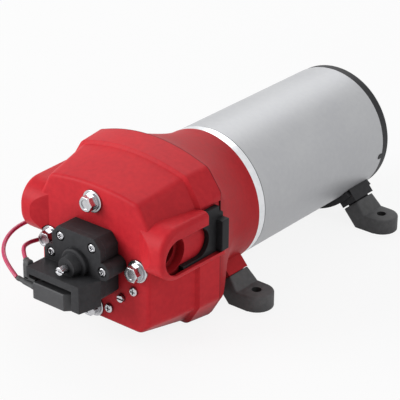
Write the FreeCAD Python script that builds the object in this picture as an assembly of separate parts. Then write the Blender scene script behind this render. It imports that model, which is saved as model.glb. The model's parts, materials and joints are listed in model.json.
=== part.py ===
import FreeCAD, Part
import math
import os

V = FreeCAD.Vector

# Twelve volt diaphragm water pump on four rubber feet. All sizes are in millimetres.
# The model is drawn about the motor's own axis: Y runs along the shaft from the pressure switch
# at the front (negative Y) to the motor's rear cap, Z is up, and Y = 0 is the rear edge of the bell.
# to_row_frame() then moves it so that the origin is the centre of the four mounting holes, on the base.

# Mounting feet
FOOT_SPACING_X = 102.0
FOOT_SPACING_Y = 125.0
AXIS_HEIGHT = 47.0
FRONT_FOOT_Y = -15.5
FOOT_WIDTH = 19.6
FOOT_END_R = 9.7
FOOT_PAD_H = 9.5
FOOT_REACH = 10.2
FOOT_HOLE_R = 2.8
FOOT_EDGE = 1.2
LEG_ANGLE = 48.5
LEG_RIM_X = 34.0
LEG_RIM_Z = -33.9
LEG_THICK = 7.2
LEG_WIDTH = 12.4
LEG_ROOT = 14.0
LEG_TIP = 9.0
ROOT_WALL = 2.4
ROOT_WIDTH = 18.4
ROOT_GAP = 0.8
FRONT_ROOT_GAP = 0.2
SLEEVE_WALL = 2.0
SLEEVE_GAP = 0.15

# Motor
MOTOR_R = 40.0
TUBE_WALL = 2.5
FRONT_PLATE_T = 5.9
FRONT_PLATE_GROOVE = 0.5
TUBE_LEN = 118.0
REAR_CAP_LEN = 7.1
REAR_CAP_R = 39.7
REAR_CAP_EDGE = 2.0
SPIGOT_LEN = 5.0
SEAT_GAP = 0.1
MAGNET_T = 7.4
MAGNET_ARC = 128.0
MAGNET_LEN = 60.0
AIR_GAP = 0.8
CORE_LEN = 48.0
CORE_SLOTS = 12
CORE_SLOT_W = 2.2
CORE_SLOT_R = 3.3
CORE_SLOT_PCR = 22.6
CORE_BORE_GAP = 0.05
WINDING_END_LEN = 9.0
WINDING_R = 25.6
WINDING_BORE_R = 9.0
WINDING_BAR_R = 2.8
WINDING_ROUND = 3.0
SHAFT_R = 4.0
SHAFT_FRONT = -26.0
COMMUTATOR_R = 12.0
COMMUTATOR_LEN = 15.0
COMMUTATOR_CUT = 0.8
COMMUTATOR_CUT_DEPTH = 1.2
COMMUTATOR_LEAD = 2.0
COMMUTATOR_INSET = 11.9
BOLT_R = 2.0
BOLT_PCR = 34.2
BOLT_HEAD_R = 3.5
BOLT_HEAD_H = 3.0

# Ball bearings of the shaft
BEARING_BORE_R = 4.0
BEARING_R = 11.0
BEARING_W = 7.0
BEARING_BALLS = 7
BALL_R = 1.95
BALL_GAP = 0.08
FRONT_BEARING_Y = 3.0
REAR_BEARING_INSET = 9.6
RACE_T = 2.1

# Carbon brushes
BRUSH_W = 6.0
BRUSH_T = 4.0
BRUSH_LEN = 11.0
BRUSH_GAP = 0.15
HOLDER_WALL = 0.8
HOLDER_LEN = 16.0
HOLDER_START = 13.6
BRUSH_SPRING_R = 1.5
BRUSH_SPRING_WIRE = 0.3
BRUSH_SPRING_TURNS = 5

# Front housing, from its front face back to the seam with the bell
FACE_Y = -94.0
SHELL_END_Y = -62.4
BAND_Y = -61.0
SEAM_Y = -45.0
ARCH_LIFT = 1.75
SHOULDER_R = 7.0
SIDE_R = 5.0
BASE_R = 6.0
FACE_EDGE = 2.4
FACE_SECTION = dict(top=41.0, shoulder_x=32.0, shoulder_z=37.8, side_x=38.8, side_top=24.5,
                    side_low=-32.5, base_x=32.0, base_z=-38.3)
SHELL_SECTION = dict(top=48.5, shoulder_x=36.0, shoulder_z=43.5, side_x=44.5, side_top=29.0,
                     side_low=-32.0, base_x=35.3, base_z=-43.4)
BAND_SECTION = dict(top=50.5, shoulder_x=37.8, shoulder_z=45.0, side_x=47.0, side_top=30.0,
                    side_low=-31.0, base_x=38.8, base_z=-44.4)
SEAM_SECTION = dict(top=53.0, shoulder_x=39.1, shoulder_z=45.6, side_x=48.3, side_top=33.5,
                    side_low=-31.0, base_x=39.9, base_z=-46.0)
PLATE_SECTION = dict(top=42.5, shoulder_x=30.0, shoulder_z=38.5, side_x=38.5, side_top=26.0,
                     side_low=-29.0, base_x=31.0, base_z=-38.0)
GALLERY_SECTION = dict(top=35.5, shoulder_x=26.0, shoulder_z=32.4, side_x=33.0, side_top=21.0,
                       side_low=-25.0, base_x=26.0, base_z=-32.5)
FACE_WALL = 6.0
HEAD_SEAL_T = 1.0
DOME_R = 15.0
DOME_WALL = 3.0
COLUMN_R = 6.0
PLATE_GAP = 0.2

# Ports, one on each side
PORT_Y = -84.7
PORT_Z = 11.3
PORT_R = 10.4
PORT_FLOOR_X = 47.0
PORT_END_X = 41.5
SOCKET_R = 8.0
SOCKET_END_X = 34.5
PASSAGE_R = 5.5
PASSAGE_WALL = 2.5
BOSS_FRONT_Y = -98.3
BOSS_TOP_Z = 28.8
BOSS_LOW_Z = -2.5
BOSS_FRONT_R = 14.2
BOSS_OUT_FRONT_X = 51.6
BOSS_OUT_REAR_X = 53.2
BOSS_ROOT_X = 30.0
BOSS_EDGE = 3.0
BOSS_BLEND_ROOT_X = 33.0
BOSS_BLEND_X = 43.5
SLOT_HALF_H = 10.2
CLIP_T = 3.0
CLIP_GAP = 0.15
CLIP_HALF_H = 12.6
CLIP_R = 8.7
CLIP_OPEN = 18.5
CLIP_TRAVEL = 11.0
CLIP_PRONG_LEN = 12.9
CLIP_REAR_Y = -45.6
CLIP_TAB_LEN = 12.5
CLIP_TAB_TOP = 16.2
CLIP_TAB_REAR_Y = -49.0
CLIP_THUMB_T = 5.9
CLIP_THUMB_X = 54.6
CLIP_THUMB_HALF_H = 9.0
CLIP_PAD_T = 1.0
CLIP_TIP_R = 3.6
CLIP_REAR_R = 1.8
TAB_SLOT_FRONT_Y = -60.9

# Valve plate, valves and diaphragm
VALVE_PLATE_T = 13.0
DIAPHRAGM_T = 2.0
CHAMBERS = 4
CHAMBER_PCR = 18.5
CHAMBER_R = 11.0
CHAMBER_DEPTH = 9.0
INLET_PCR = 21.0
INLET_FLAP_R = 4.4
INLET_FLAP_T = 1.2
INLET_STEM_R = 1.2
INLET_BULB_R = 1.9
INLET_BULB_H = 2.0
INLET_HOLE_R = 0.9
INLET_HOLE_PCR = 2.8
INLET_HOLES = 4
OUTLET_DISC_R = 13.6
OUTLET_DISC_T = 1.6
OUTLET_STEM_R = 2.0
OUTLET_STEM_INSET = 3.0
OUTLET_HOLE_R = 1.0
OUTLET_HOLE_PCR = 10.6
OUTLET_HOLE_STEP = 15.0
VALVE_GAP = 0.15
SEAL_INSET = 0.4

# Wobble drive: the plate nutates about a point on the shaft axis in the diaphragm's middle plane
TILT = 3.5
PAD_R = 8.0
PAD_T = 6.0
PAD_GAP = 0.05
PAD_PROUD = 2.0
PISTON_R = 7.4
PISTON_T = 4.5
PISTON_HEAD_R = 3.6
PISTON_HEAD_H = 2.5
PISTON_SCREW_R = 1.9
PISTON_HOLE_GAP = 0.15
PISTON_SCREW_BITE = 5.0
PISTON_SLOT_W = 0.9
PISTON_SLOT_DEPTH = 0.9
CONVOLUTION_T = 1.0
DRIVE_BORE_R = 6.0
DRIVE_R = 14.0
DRIVE_W = 8.0
DRIVE_BALLS = 8
DRIVE_BALL_R = 2.2
DRIVE_RACE_T = 2.3
DRIVE_FRONT = -42.0
HUB_WALL = 3.0
HUB_LEN = 13.0
ARM_W = 9.0
ECCENTRIC_R = 11.0
ECCENTRIC_FRONT = -31.5
ECCENTRIC_REAR = -9.0
JOURNAL_SHOULDER_R = 8.0
JOURNAL_SHOULDER_T = 1.6
GRUB_R = 2.0
GRUB_LEN = 3.0
GRUB_Y = -15.0
COUNTER_CUT_Z = 7.5

# Bell between the diaphragm and the motor
BELL_INSET = 0.5
BELL_R = 40.2
BELL_WALL = 4.0
BELL_WEB_T = 4.0
BELL_WEB_HOLE_R = 29.8
BELL_REAR_T = 4.0
BELL_BORE_R = 33.0
BELL_SPIGOT_R = 32.9
BELL_SPIGOT_H = 3.5
BELL_COLUMN_LEN = 17.0
BELL_STATIONS = ((-45.0, 0.0, 0.0), (-34.0, 0.40, 0.5), (-25.0, 0.64, 0.92), (-16.0, 0.84, 1.0),
                 (-7.0, 0.97, 1.0), (0.0, 1.0, 1.0))
BELL_TOUCH = (-38.0, 2.0, 36.0, 71.0)
CIRCLE_ROUND = 0.965

# Screws of the head, in a diamond about the shaft axis
SCREW_PCR = 31.5
SCREW_R = 2.4
SCREW_HOLE_GAP = 0.3
SCREW_BITE = 14.0
WASHER_R = 6.5
WASHER_T = 1.2
WASHER_EDGE = 0.4
HEX_FLATS = 8.0
HEX_H = 5.2
HEX_FLANGE_R = 5.2
HEX_FLANGE_T = 1.0
HEX_DISH_R = 2.7
HEX_DISH_DEPTH = 0.5

# Bypass valve with its adjuster and two cap screws, low on the right of the front face
BYPASS_X = 19.9
BYPASS_Z = -20.2
BYPASS_R = 2.2
BYPASS_PROUD = 2.4
BYPASS_LEN = 9.0
BYPASS_BORE_R = 2.4
BYPASS_COLUMN_R = 5.0
BYPASS_COLUMN_LEN = 20.0
BYPASS_SEAT_R = 1.3
BYPASS_POPPET_R = 2.2
BYPASS_SPRING_R = 1.6
BYPASS_SPRING_WIRE = 0.45
BYPASS_SPRING_LEN = 6.4
BYPASS_SPRING_TURNS = 5
CAP_SCREW_PCR = 31.6
CAP_SCREW_ANGLES = (-24.7, -70.1)
SMALL_SCREW_R = 1.4
SMALL_SCREW_BITE = 5.0
SMALL_HEAD_R = 2.6
SMALL_HEAD_H = 1.7
CROSS_W = 0.8
CROSS_DEPTH = 0.9
CROSS_SPAN = 0.6

# Pressure switch
SWITCH_BODY_T = 10.0
SWITCH_PLATE_T = 4.0
SWITCH_TOP_Z = 17.9
SWITCH_TOP_X = 13.2
SWITCH_SIDE_X = 17.5
SWITCH_SIDE_TOP = 12.6
SWITCH_SIDE_LOW = -15.6
SWITCH_LOW_X = 12.4
SWITCH_LOW_Z = -20.4
SWITCH_CORNER_R = 1.5
LOBE_X = 18.4
LOBE_Z = 0.4
LOBE_R = 5.0
COVER_SCREW_X = 11.3
COVER_SCREW_Z = 12.3
COVER_HEAD_R = 2.4
COVER_HEAD_H = 1.5
COVER_SINK_R = 3.0
COVER_SINK_DEPTH = 1.1
COVER_SCREW_R = 1.3
COVER_SCREW_BITE = 3.5
DOME_RING_R = 8.8
DOME_RING_T = 3.0
DOME_RING_ROUND = 1.2
KNOB_BASE_R = 6.4
KNOB_TIP_R = 5.7
KNOB_LEN = 5.0
ADJUSTER_R = 2.4
ADJUSTER_LEN = 9.4
ADJUSTER_PROUD = 5.8
ADJUSTER_SLOT_W = 0.9
ADJUSTER_SLOT_DEPTH = 1.2
ADJUSTER_GAP = 0.06
ADJUSTER_EDGE = 0.3
SPRING_POCKET_R = 4.0
SPRING_POCKET_DEPTH = 2.0
SHELF_LEFT_X = -23.5
SHELF_RIGHT_X = 14.6
SHELF_TOP_Z = -4.5
SHELF_T = 2.2
SHELF_FRONT_Y = -122.4
APRON_T = 1.8
APRON_LOW_Z = -8.6
RIGHT_WALL_T = 5.4
CHEEK_T = 1.8
CHEEK_LOW_Z = -10.8
SWITCH_DIAPHRAGM_R = 12.6
SWITCH_DIAPHRAGM_T = 1.3
PRESSURE_HOLE_R = 2.0
PLUNGER_DISC_R = 8.0
PLUNGER_DISC_T = 1.6
PLUNGER_R = 3.0
PLUNGER_GAP = 0.25
PLUNGER_TRAVEL = 0.4
PLUNGER_TIP_ROUND = 1.6
CONTACT_GAP = 0.1
LEVER_T = 1.4
LEVER_W = 8.0
LEVER_TOP_Z = 11.8
LEVER_LOW_Z = -18.6
LEVER_PIN_Z = 9.6
LEVER_PIN_R = 0.9
LEVER_PIN_LEN = 13.0
LEVER_PIN_GAP = 0.06
LEVER_KNUCKLE_R = 1.7
LEVER_ROOM = 1.2
SWITCH_SPRING_R = 2.6
SWITCH_SPRING_WIRE = 0.6
SWITCH_SPRING_TURNS = 5

# Snap switch below the shelf, with its terminals and leads
SNAP_LEN = 27.8
SNAP_T = 10.3
SNAP_DEPTH = 15.4
SNAP_SINK = 1.0
SNAP_LEFT_X = -19.0
SNAP_TOP_Z = -12.5
SNAP_CHAMFER = 5.5
SNAP_EDGE = 0.5
SNAP_PIN_R = 1.5
SNAP_PIN_INSET = 2.8
SNAP_PIN_Y_INSET = 5.0
BUTTON_X = -2.0
BUTTON_Z = -16.4
BUTTON_R = 1.6
BUTTON_LEN = 4.5
BUTTON_GAP = 0.2
BOOT_R = 2.3
BOOT_TAPER = 0.7
BOOT_ROOT_Y = -119.9
BOOT_ROOT_Z = -16.6
UPPER_BOOT_X = -25.9
UPPER_BOOT_Y = -118.4
UPPER_BOOT_LOW_Z = -10.4
UPPER_BOOT_TOP_Z = -2.8
UPPER_BOOT_W = 4.0
UPPER_TAB_Z = -13.6
TAB_LEN = 6.0
TAB_W = 3.2
TAB_T = 0.8
LEAD_D = 2.4
LEAD_GAP = 0.6
GROMMET_Y = -30.0
GROMMET_Z = -21.0
GROMMET_R = 4.4
GROMMET_FLANGE_R = 6.0
GROMMET_FLANGE_T = 1.4
GROMMET_FACE_X = -48.6
GROMMET_LEN = 9.0
GROMMET_BOSS_R = 7.4

# Saddle under the rear of the motor
SADDLE_GAP = 0.1
SADDLE_T = 3.4
SADDLE_WIDTH = 24.0
SADDLE_ARC = 104.0
SADDLE_SCREW_R = 2.0
SADDLE_SCREW_ANGLE = 18.0
SADDLE_SCREW_HEAD_R = 3.8
SADDLE_SCREW_HEAD_H = 1.8

# Places that follow from the sizes above
TUBE_START = FRONT_PLATE_T
TUBE_END = TUBE_START + TUBE_LEN
REAR_END = TUBE_END + REAR_CAP_LEN
REAR_FOOT_Y = FRONT_FOOT_Y + FOOT_SPACING_Y
FOOT_X = FOOT_SPACING_X / 2
BASE_Z = -AXIS_HEIGHT
TUBE_BORE_R = MOTOR_R - TUBE_WALL
SPIGOT_R = TUBE_BORE_R - SEAT_GAP
MAGNET_R = TUBE_BORE_R - SEAT_GAP
CORE_R = MAGNET_R - MAGNET_T - AIR_GAP
COMMUTATOR_START = TUBE_END - COMMUTATOR_INSET - COMMUTATOR_LEN
CORE_START = COMMUTATOR_START - COMMUTATOR_LEAD - WINDING_END_LEN - CORE_LEN
MAGNET_START = CORE_START + (CORE_LEN - MAGNET_LEN) / 2
BRUSH_Y = COMMUTATOR_START + COMMUTATOR_LEN / 2
REAR_BEARING_Y = REAR_END - REAR_BEARING_INSET
SHAFT_REAR = REAR_BEARING_Y + BEARING_W
DRIVE_Y = DRIVE_FRONT + DRIVE_W / 2
DRIVE_TRACK_R = (DRIVE_BORE_R + DRIVE_R) / 2
SHAFT_TRACK_R = (BEARING_BORE_R + BEARING_R) / 2
DIAPHRAGM_REAR = SEAM_Y
DIAPHRAGM_FRONT = SEAM_Y - DIAPHRAGM_T
PIVOT = V(0, SEAM_Y - DIAPHRAGM_T / 2, 0)
VALVE_PLATE_FRONT = DIAPHRAGM_FRONT - VALVE_PLATE_T
LEDGE_Y = VALVE_PLATE_FRONT - HEAD_SEAL_T
CHAMBER_FLOOR = DIAPHRAGM_FRONT - CHAMBER_DEPTH
GALLERY_FRONT = FACE_Y + FACE_WALL
SLOT_TOP_X = PORT_FLOOR_X + CLIP_T + 2 * CLIP_GAP
COVER_Y = FACE_Y - SWITCH_BODY_T
PLATE_FACE_Y = COVER_Y - SWITCH_PLATE_T
RING_FACE_Y = PLATE_FACE_Y - DOME_RING_T
KNOB_TIP_Y = RING_FACE_Y - KNOB_LEN
ADJUSTER_TIP_Y = KNOB_TIP_Y - ADJUSTER_PROUD
BYPASS_SPRING_START = FACE_Y - BYPASS_PROUD + BYPASS_LEN + CONTACT_GAP
SNAP_REAR_Y = PLATE_FACE_Y + SNAP_SINK
SNAP_FRONT_Y = SNAP_REAR_Y - SNAP_DEPTH
SNAP_RIGHT_X = SNAP_LEFT_X + SNAP_LEN
LEVER_REAR_Y = COVER_Y - CONTACT_GAP
LEVER_FRONT_Y = LEVER_REAR_Y - LEVER_T
LEVER_PIN_Y = (LEVER_FRONT_Y + LEVER_REAR_Y) / 2

# Routes of the two switch leads, from each boot round the left side to the grommet, chosen by hand
OUTER_LEAD = ((-32.6, -120.8, -15.0), (-42.4, -118.0, -11.8), (-52.0, -112.0, -9.4),
              (-58.4, -103.5, -7.3), (-61.2, -93.0, -5.2), (-61.0, -81.0, -4.6),
              (-60.4, -69.0, -7.0), (-60.6, -57.5, -11.5), (-60.4, -46.5, -16.5),
              (-58.4, -35.0, -20.3), (-49.4, -28.0, -21.0))
INNER_LEAD = ((-29.4, -116.8, -4.2), (-37.2, -111.6, -2.4), (-41.4, -102.2, -4.0),
              (-42.8, -92.4, -6.4), (-45.2, -82.6, -9.4), (-48.8, -72.6, -12.0),
              (-53.0, -61.6, -14.2), (-55.4, -50.4, -17.2), (-54.2, -41.0, -20.0),
              (-49.8, -32.4, -21.0))


def to_row_frame(shape):
    """Move a piece from the motor's frame to the frame of the mounting holes."""
    moved = shape.copy()
    moved.translate(V(0, -(FRONT_FOOT_Y + REAR_FOOT_Y) / 2, AXIS_HEIGHT))
    return moved


def rod(radius, start, end, x=0.0, z=0.0):
    """Round bar along Y between two stations."""
    return Part.makeCylinder(radius, end - start, V(x, start, z), V(0, 1, 0))


def cross_rod(radius, start, end, y, z):
    """Round bar along X between two stations."""
    return Part.makeCylinder(radius, end - start, V(start, y, z), V(1, 0, 0))


def upright_rod(radius, low, high, x, y):
    """Round bar along Z between two heights."""
    return Part.makeCylinder(radius, high - low, V(x, y, low), V(0, 0, 1))


def tube(radius, bore, start, end, x=0.0, z=0.0):
    """Round tube along Y."""
    return rod(radius, start, end, x, z).cut(rod(bore, start, end, x, z))


def block(x0, x1, y0, y1, z0, z1):
    """Box between two corners."""
    return Part.makeBox(x1 - x0, y1 - y0, z1 - z0, V(x0, y0, z0))


def fused(first, *others):
    """Join pieces that touch into one solid and drop the seams between them."""
    return first.multiFuse(list(others)).removeSplitter()


def polar(radius, degrees):
    """Point (x, z) on a circle about the shaft axis."""
    angle = math.radians(degrees)
    return radius * math.cos(angle), radius * math.sin(angle)


def revolved(profile):
    """Turn a closed outline of (radius, y) points about the shaft axis."""
    points = [V(r, y, 0) for r, y in profile]
    face = Part.Face(Part.makePolygon(points + points[:1]))
    return face.revolve(V(0, 0, 0), V(0, 1, 0), 360)


def tangent_corner(before, corner, after, radius):
    """Ends and middle of the arc that rounds one corner of an outline."""
    into = (corner - before).normalize()
    out = (after - corner).normalize()
    turn = into.getAngle(out)
    reach = radius * math.tan(turn / 2)
    inward = (out - into).normalize()
    middle = corner + inward * (radius / math.cos(turn / 2) - radius)
    return corner - into * reach, middle, corner + out * reach


def rounded_wire(corners, place):
    """Closed outline of straight sides and tangent arcs; place turns (u, v) into a point."""
    points = [place(c[0], c[1]) for c in corners]
    arcs = []
    for i, corner in enumerate(corners):
        after = points[(i + 1) % len(points)]
        arcs.append(tangent_corner(points[i - 1], points[i], after, corner[2]))
    edges = []
    for i, (start, middle, end) in enumerate(arcs):
        edges.append(Part.Arc(start, middle, end).toShape())
        edges.append(Part.LineSegment(end, arcs[(i + 1) % len(arcs)][0]).toShape())
    return Part.Wire(edges)


def section_corners(section, inset=0.0):
    """Nine rounded corners (x, z, radius) of a housing section, optionally drawn inward."""
    shoulder = (section["shoulder_x"] - inset / 2, section["shoulder_z"] - inset)
    rise = section["top"] - inset - shoulder[1]
    peak = shoulder[1] + ARCH_LIFT * rise
    slope = math.atan((peak - shoulder[1]) / shoulder[0])
    arch = (peak - section["top"] + inset) / (1 / math.cos(slope) - 1)
    right = [(shoulder[0], shoulder[1], SHOULDER_R),
             (section["side_x"] - inset, section["side_top"] - inset / 2, SIDE_R),
             (section["side_x"] - inset, section["side_low"] + inset / 2, SIDE_R),
             (section["base_x"] - inset / 2, section["base_z"] + inset, BASE_R)]
    left = [(-x, z, r) for x, z, r in reversed(right)]
    return [(0.0, peak, arch)] + right + left


def station_wire(corners, y):
    """Rounded outline in the plane across the shaft axis at y."""
    return rounded_wire(corners, lambda x, z: V(x, y, z))


def section_prism(section, start, end, inset=0.0):
    """Housing section carried straight along Y."""
    face = Part.Face(station_wire(section_corners(section, inset), start))
    return face.extrude(V(0, end - start, 0))


def side_prism(corners, start, end):
    """Rounded outline in the (y, z) plane carried along X."""
    face = Part.Face(rounded_wire(corners, lambda y, z: V(start, y, z)))
    return face.extrude(V(end - start, 0, 0))


def plan_prism(corners, low, high):
    """Rounded outline in the (x, y) plane carried up Z."""
    face = Part.Face(rounded_wire(corners, lambda x, y: V(x, y, low)))
    return face.extrude(V(0, 0, high - low))


def flat_prism(points, start, end):
    """Sharp outline of (x, z) points carried along Y."""
    loop = [V(x, start, z) for x, z in points]
    return Part.Face(Part.makePolygon(loop + loop[:1])).extrude(V(0, end - start, 0))


def mirrored(shape):
    """The same piece on the other side of the pump."""
    return shape.mirror(V(0, 0, 0), V(1, 0, 0))


def tilted(shape):
    """Turn a piece of the wobble drive with the inclined journal, about the pivot."""
    turned = shape.copy()
    turned.rotate(PIVOT, V(1, 0, 0), TILT)
    return turned


def hexagon(flats, start, end, x, z):
    """Six sided bar along Y."""
    corner = flats / 2 / math.cos(math.pi / 6)
    points = []
    for i in range(6):
        dx, dz = polar(corner, 60 * i)
        points.append((x + dx, z + dz))
    return flat_prism(points, start, end)


def coil_spring(radius, wire, start, end, turns, x=0.0, z=0.0):
    """Round wire wound about a line parallel to Y."""
    pitch = (end - start - wire) / turns
    path = Part.makeHelix(pitch, pitch * turns, radius)
    section = Part.Wire(Part.makeCircle(wire / 2, V(radius, 0, 0), V(0, 1, 0)))
    spring = Part.Wire(path).makePipeShell([section], True, True)
    spring.rotate(V(0, 0, 0), V(1, 0, 0), -90)
    spring.translate(V(x, start + wire / 2, z))
    return spring


def cross_recess(tip_y, x, z, length, width=CROSS_W, depth=CROSS_DEPTH):
    """Cross shaped cutter sunk into a screw head whose face is at tip_y, looking along -Y."""
    half = length / 2
    wide = block(x - half, x + half, tip_y, tip_y + depth, z - width / 2, z + width / 2)
    tall = block(x - width / 2, x + width / 2, tip_y, tip_y + depth, z - half, z + half)
    return wide.fuse(tall)


def slot_recess(tip_y, x, z, length, width, depth):
    """Straight slot cutter for a screw head whose face is at tip_y."""
    half = length / 2
    return block(x - half, x + half, tip_y, tip_y + depth, z - width / 2, z + width / 2)


def pan_screw(seat_y, x, z, head_r, head_h, shank_r, bite):
    """Small cross head screw, seated at seat_y and driven towards +Y."""
    head = rod(head_r, seat_y - head_h, seat_y, x, z)
    rim = [e for e in head.Edges if abs(e.BoundBox.YMax - (seat_y - head_h)) < CONTACT_GAP]
    head = head.makeFillet(head_h / 2, rim)
    shank = rod(shank_r, seat_y, seat_y + bite, x, z)
    screw = fused(head, shank)
    return screw.cut(cross_recess(seat_y - head_h, x, z, 2 * head_r * CROSS_SPAN))


def screw_places():
    """The four head screws: top, right, bottom and left of the diamond."""
    return [polar(SCREW_PCR, 90 * i) for i in range(4)]


def chamber_places():
    """Centres of the pumping chambers, between the head screws."""
    step = 360 / CHAMBERS
    return [polar(CHAMBER_PCR, step / 2 + step * i) for i in range(CHAMBERS)]


def chamber_angles():
    """Directions of the pumping chambers in degrees."""
    step = 360 / CHAMBERS
    return [step / 2 + step * i for i in range(CHAMBERS)]


# Front housing and ports

def outer_shell():
    """Outside of the front housing: tapered shell, raised band and the step between them."""
    front = station_wire(section_corners(FACE_SECTION), FACE_Y)
    rear = station_wire(section_corners(SHELL_SECTION), SHELL_END_Y)
    shell = Part.makeLoft([front, rear], True, True)
    rim = [e for e in shell.Edges if e.BoundBox.YMax < FACE_Y + CONTACT_GAP]
    shell = shell.makeFillet(FACE_EDGE, rim)
    step = Part.makeLoft([rear, station_wire(section_corners(BAND_SECTION), BAND_Y)], True, True)
    band = Part.makeLoft([station_wire(section_corners(BAND_SECTION), BAND_Y),
                          station_wire(section_corners(SEAM_SECTION), SEAM_Y)], True, True)
    return fused(shell, step, band)


def wedge_prism(points, low, high):
    """Sharp outline of (x, y) points carried up Z."""
    loop = [V(x, y, low) for x, y in points]
    return Part.Face(Part.makePolygon(loop + loop[:1])).extrude(V(0, 0, high - low))


def port_boss():
    """Right hand port boss that stands proud of the housing's side, with a rounded front end."""
    corners = [(BOSS_FRONT_Y, BOSS_LOW_Z, BOSS_FRONT_R), (BOSS_FRONT_Y, BOSS_TOP_Z, BOSS_FRONT_R),
               (SEAM_Y, BOSS_TOP_Z, PLATE_GAP), (SEAM_Y, BOSS_LOW_Z, PLATE_GAP)]
    boss = side_prism(corners, BOSS_ROOT_X, BOSS_OUT_REAR_X)
    over = BOSS_OUT_REAR_X - BOSS_OUT_FRONT_X
    outside = [(BOSS_OUT_FRONT_X, BOSS_FRONT_Y), (BOSS_OUT_REAR_X, SEAM_Y),
               (BOSS_OUT_REAR_X + over, SEAM_Y), (BOSS_OUT_REAR_X + over, BOSS_FRONT_Y)]
    front = [(BOSS_ROOT_X, BOSS_FRONT_Y), (BOSS_BLEND_X, BOSS_FRONT_Y),
             (BOSS_BLEND_ROOT_X, FACE_Y), (BOSS_ROOT_X, FACE_Y)]
    for points in (outside, front):
        boss = boss.cut(wedge_prism(points, BOSS_LOW_Z, BOSS_TOP_Z))
    outer = [e for e in boss.Edges
             if e.BoundBox.XMin > BOSS_OUT_FRONT_X - over and e.BoundBox.YMin < SEAM_Y - over]
    return boss.makeFillet(BOSS_EDGE, outer)


def port_cutters(side_outlet):
    """Everything cut from the right hand boss: mouth, clip channel, tab slot and water passage."""
    out = BOSS_OUT_REAR_X + BOSS_EDGE
    mouth = cross_rod(PORT_R, PORT_END_X, out, PORT_Y, PORT_Z)
    slot = block(PORT_FLOOR_X, out, PORT_Y, SEAM_Y, PORT_Z - SLOT_HALF_H, PORT_Z + SLOT_HALF_H)
    half = CLIP_HALF_H + CLIP_GAP
    front = PORT_Y + CLIP_OPEN - CLIP_PRONG_LEN - CLIP_TRAVEL - CLIP_GAP
    corner = CLIP_TIP_R + CLIP_GAP
    rear = SEAM_Y + corner
    channel = side_prism([(front, PORT_Z - half, corner), (rear, PORT_Z - half, PLATE_GAP),
                          (rear, PORT_Z + half, PLATE_GAP), (front, PORT_Z + half, corner)],
                         PORT_FLOOR_X, SLOT_TOP_X)
    tab_top = PORT_Z + CLIP_TAB_TOP + CLIP_GAP
    tab_front = CLIP_TAB_REAR_Y - CLIP_TAB_LEN - CLIP_TRAVEL - CLIP_GAP
    tab_channel = block(PORT_FLOOR_X, SLOT_TOP_X, tab_front, SEAM_Y, PORT_Z, tab_top)
    tab_slot = block(PORT_FLOOR_X, out, TAB_SLOT_FRONT_Y, SEAM_Y, PORT_Z, BOSS_TOP_Z + CLIP_GAP)
    inner = DOME_R - DOME_WALL if side_outlet else GALLERY_SECTION["side_x"] - PASSAGE_WALL
    socket = cross_rod(SOCKET_R, SOCKET_END_X, PORT_END_X + CLIP_GAP, PORT_Y, PORT_Z)
    passage = cross_rod(PASSAGE_R, inner, SOCKET_END_X + CLIP_GAP, PORT_Y, PORT_Z)
    return mouth.multiFuse([slot, channel, tab_channel, tab_slot, socket, passage])


def gallery():
    """Water space behind the front face: inlet gallery round the outlet dome."""
    space = section_prism(GALLERY_SECTION, GALLERY_FRONT, LEDGE_Y + CONTACT_GAP)
    space = space.cut(rod(DOME_R + DOME_WALL, GALLERY_FRONT, LEDGE_Y + CONTACT_GAP))
    for x, z in screw_places():
        space = space.cut(rod(COLUMN_R, GALLERY_FRONT, LEDGE_Y + CONTACT_GAP, x, z))
    pipe = cross_rod(PASSAGE_R + PASSAGE_WALL, 0, PORT_END_X, PORT_Y, PORT_Z)
    space = space.cut(pipe)
    column_end = FACE_Y + BYPASS_COLUMN_LEN
    space = space.cut(rod(BYPASS_COLUMN_R, GALLERY_FRONT, column_end, BYPASS_X, BYPASS_Z))
    return space.fuse(rod(DOME_R, GALLERY_FRONT, LEDGE_Y + CONTACT_GAP))


def bypass_bore():
    """Stepped bore of the bypass valve, from the front face to its seat."""
    seat = FACE_Y + BYPASS_COLUMN_LEN - 2 * PASSAGE_WALL
    bore = rod(BYPASS_BORE_R, FACE_Y, seat, BYPASS_X, BYPASS_Z)
    return bore.fuse(rod(BYPASS_SEAT_R, seat, FACE_Y + BYPASS_COLUMN_LEN, BYPASS_X, BYPASS_Z))


def front_housing():
    """Moulded head with both ports, the water galleries and the seat of the pressure switch."""
    body = outer_shell()
    boss = port_boss()
    body = body.multiFuse([boss, mirrored(boss)])
    body = body.cut(section_prism(PLATE_SECTION, LEDGE_Y, SEAM_Y, -PLATE_GAP))
    cutters = [gallery(), port_cutters(True), mirrored(port_cutters(False)), bypass_bore()]
    cutters.append(rod(PRESSURE_HOLE_R, FACE_Y, GALLERY_FRONT))
    for x, z in screw_places():
        cutters.append(rod(SCREW_R + SCREW_HOLE_GAP, FACE_Y, LEDGE_Y, x, z))
        cutters.append(rod(WASHER_R + SCREW_HOLE_GAP, BOSS_FRONT_Y, FACE_Y, x, z))
    for x, z in cover_screw_places():
        cutters.append(rod(COVER_SCREW_R + SEAT_GAP, FACE_Y, FACE_Y + COVER_SCREW_BITE, x, z))
    for x, z in cap_screw_places():
        cutters.append(rod(SMALL_SCREW_R + SEAT_GAP, FACE_Y, FACE_Y + SMALL_SCREW_BITE, x, z))
    for cutter in cutters:
        body = body.cut(cutter)
    return body


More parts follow.
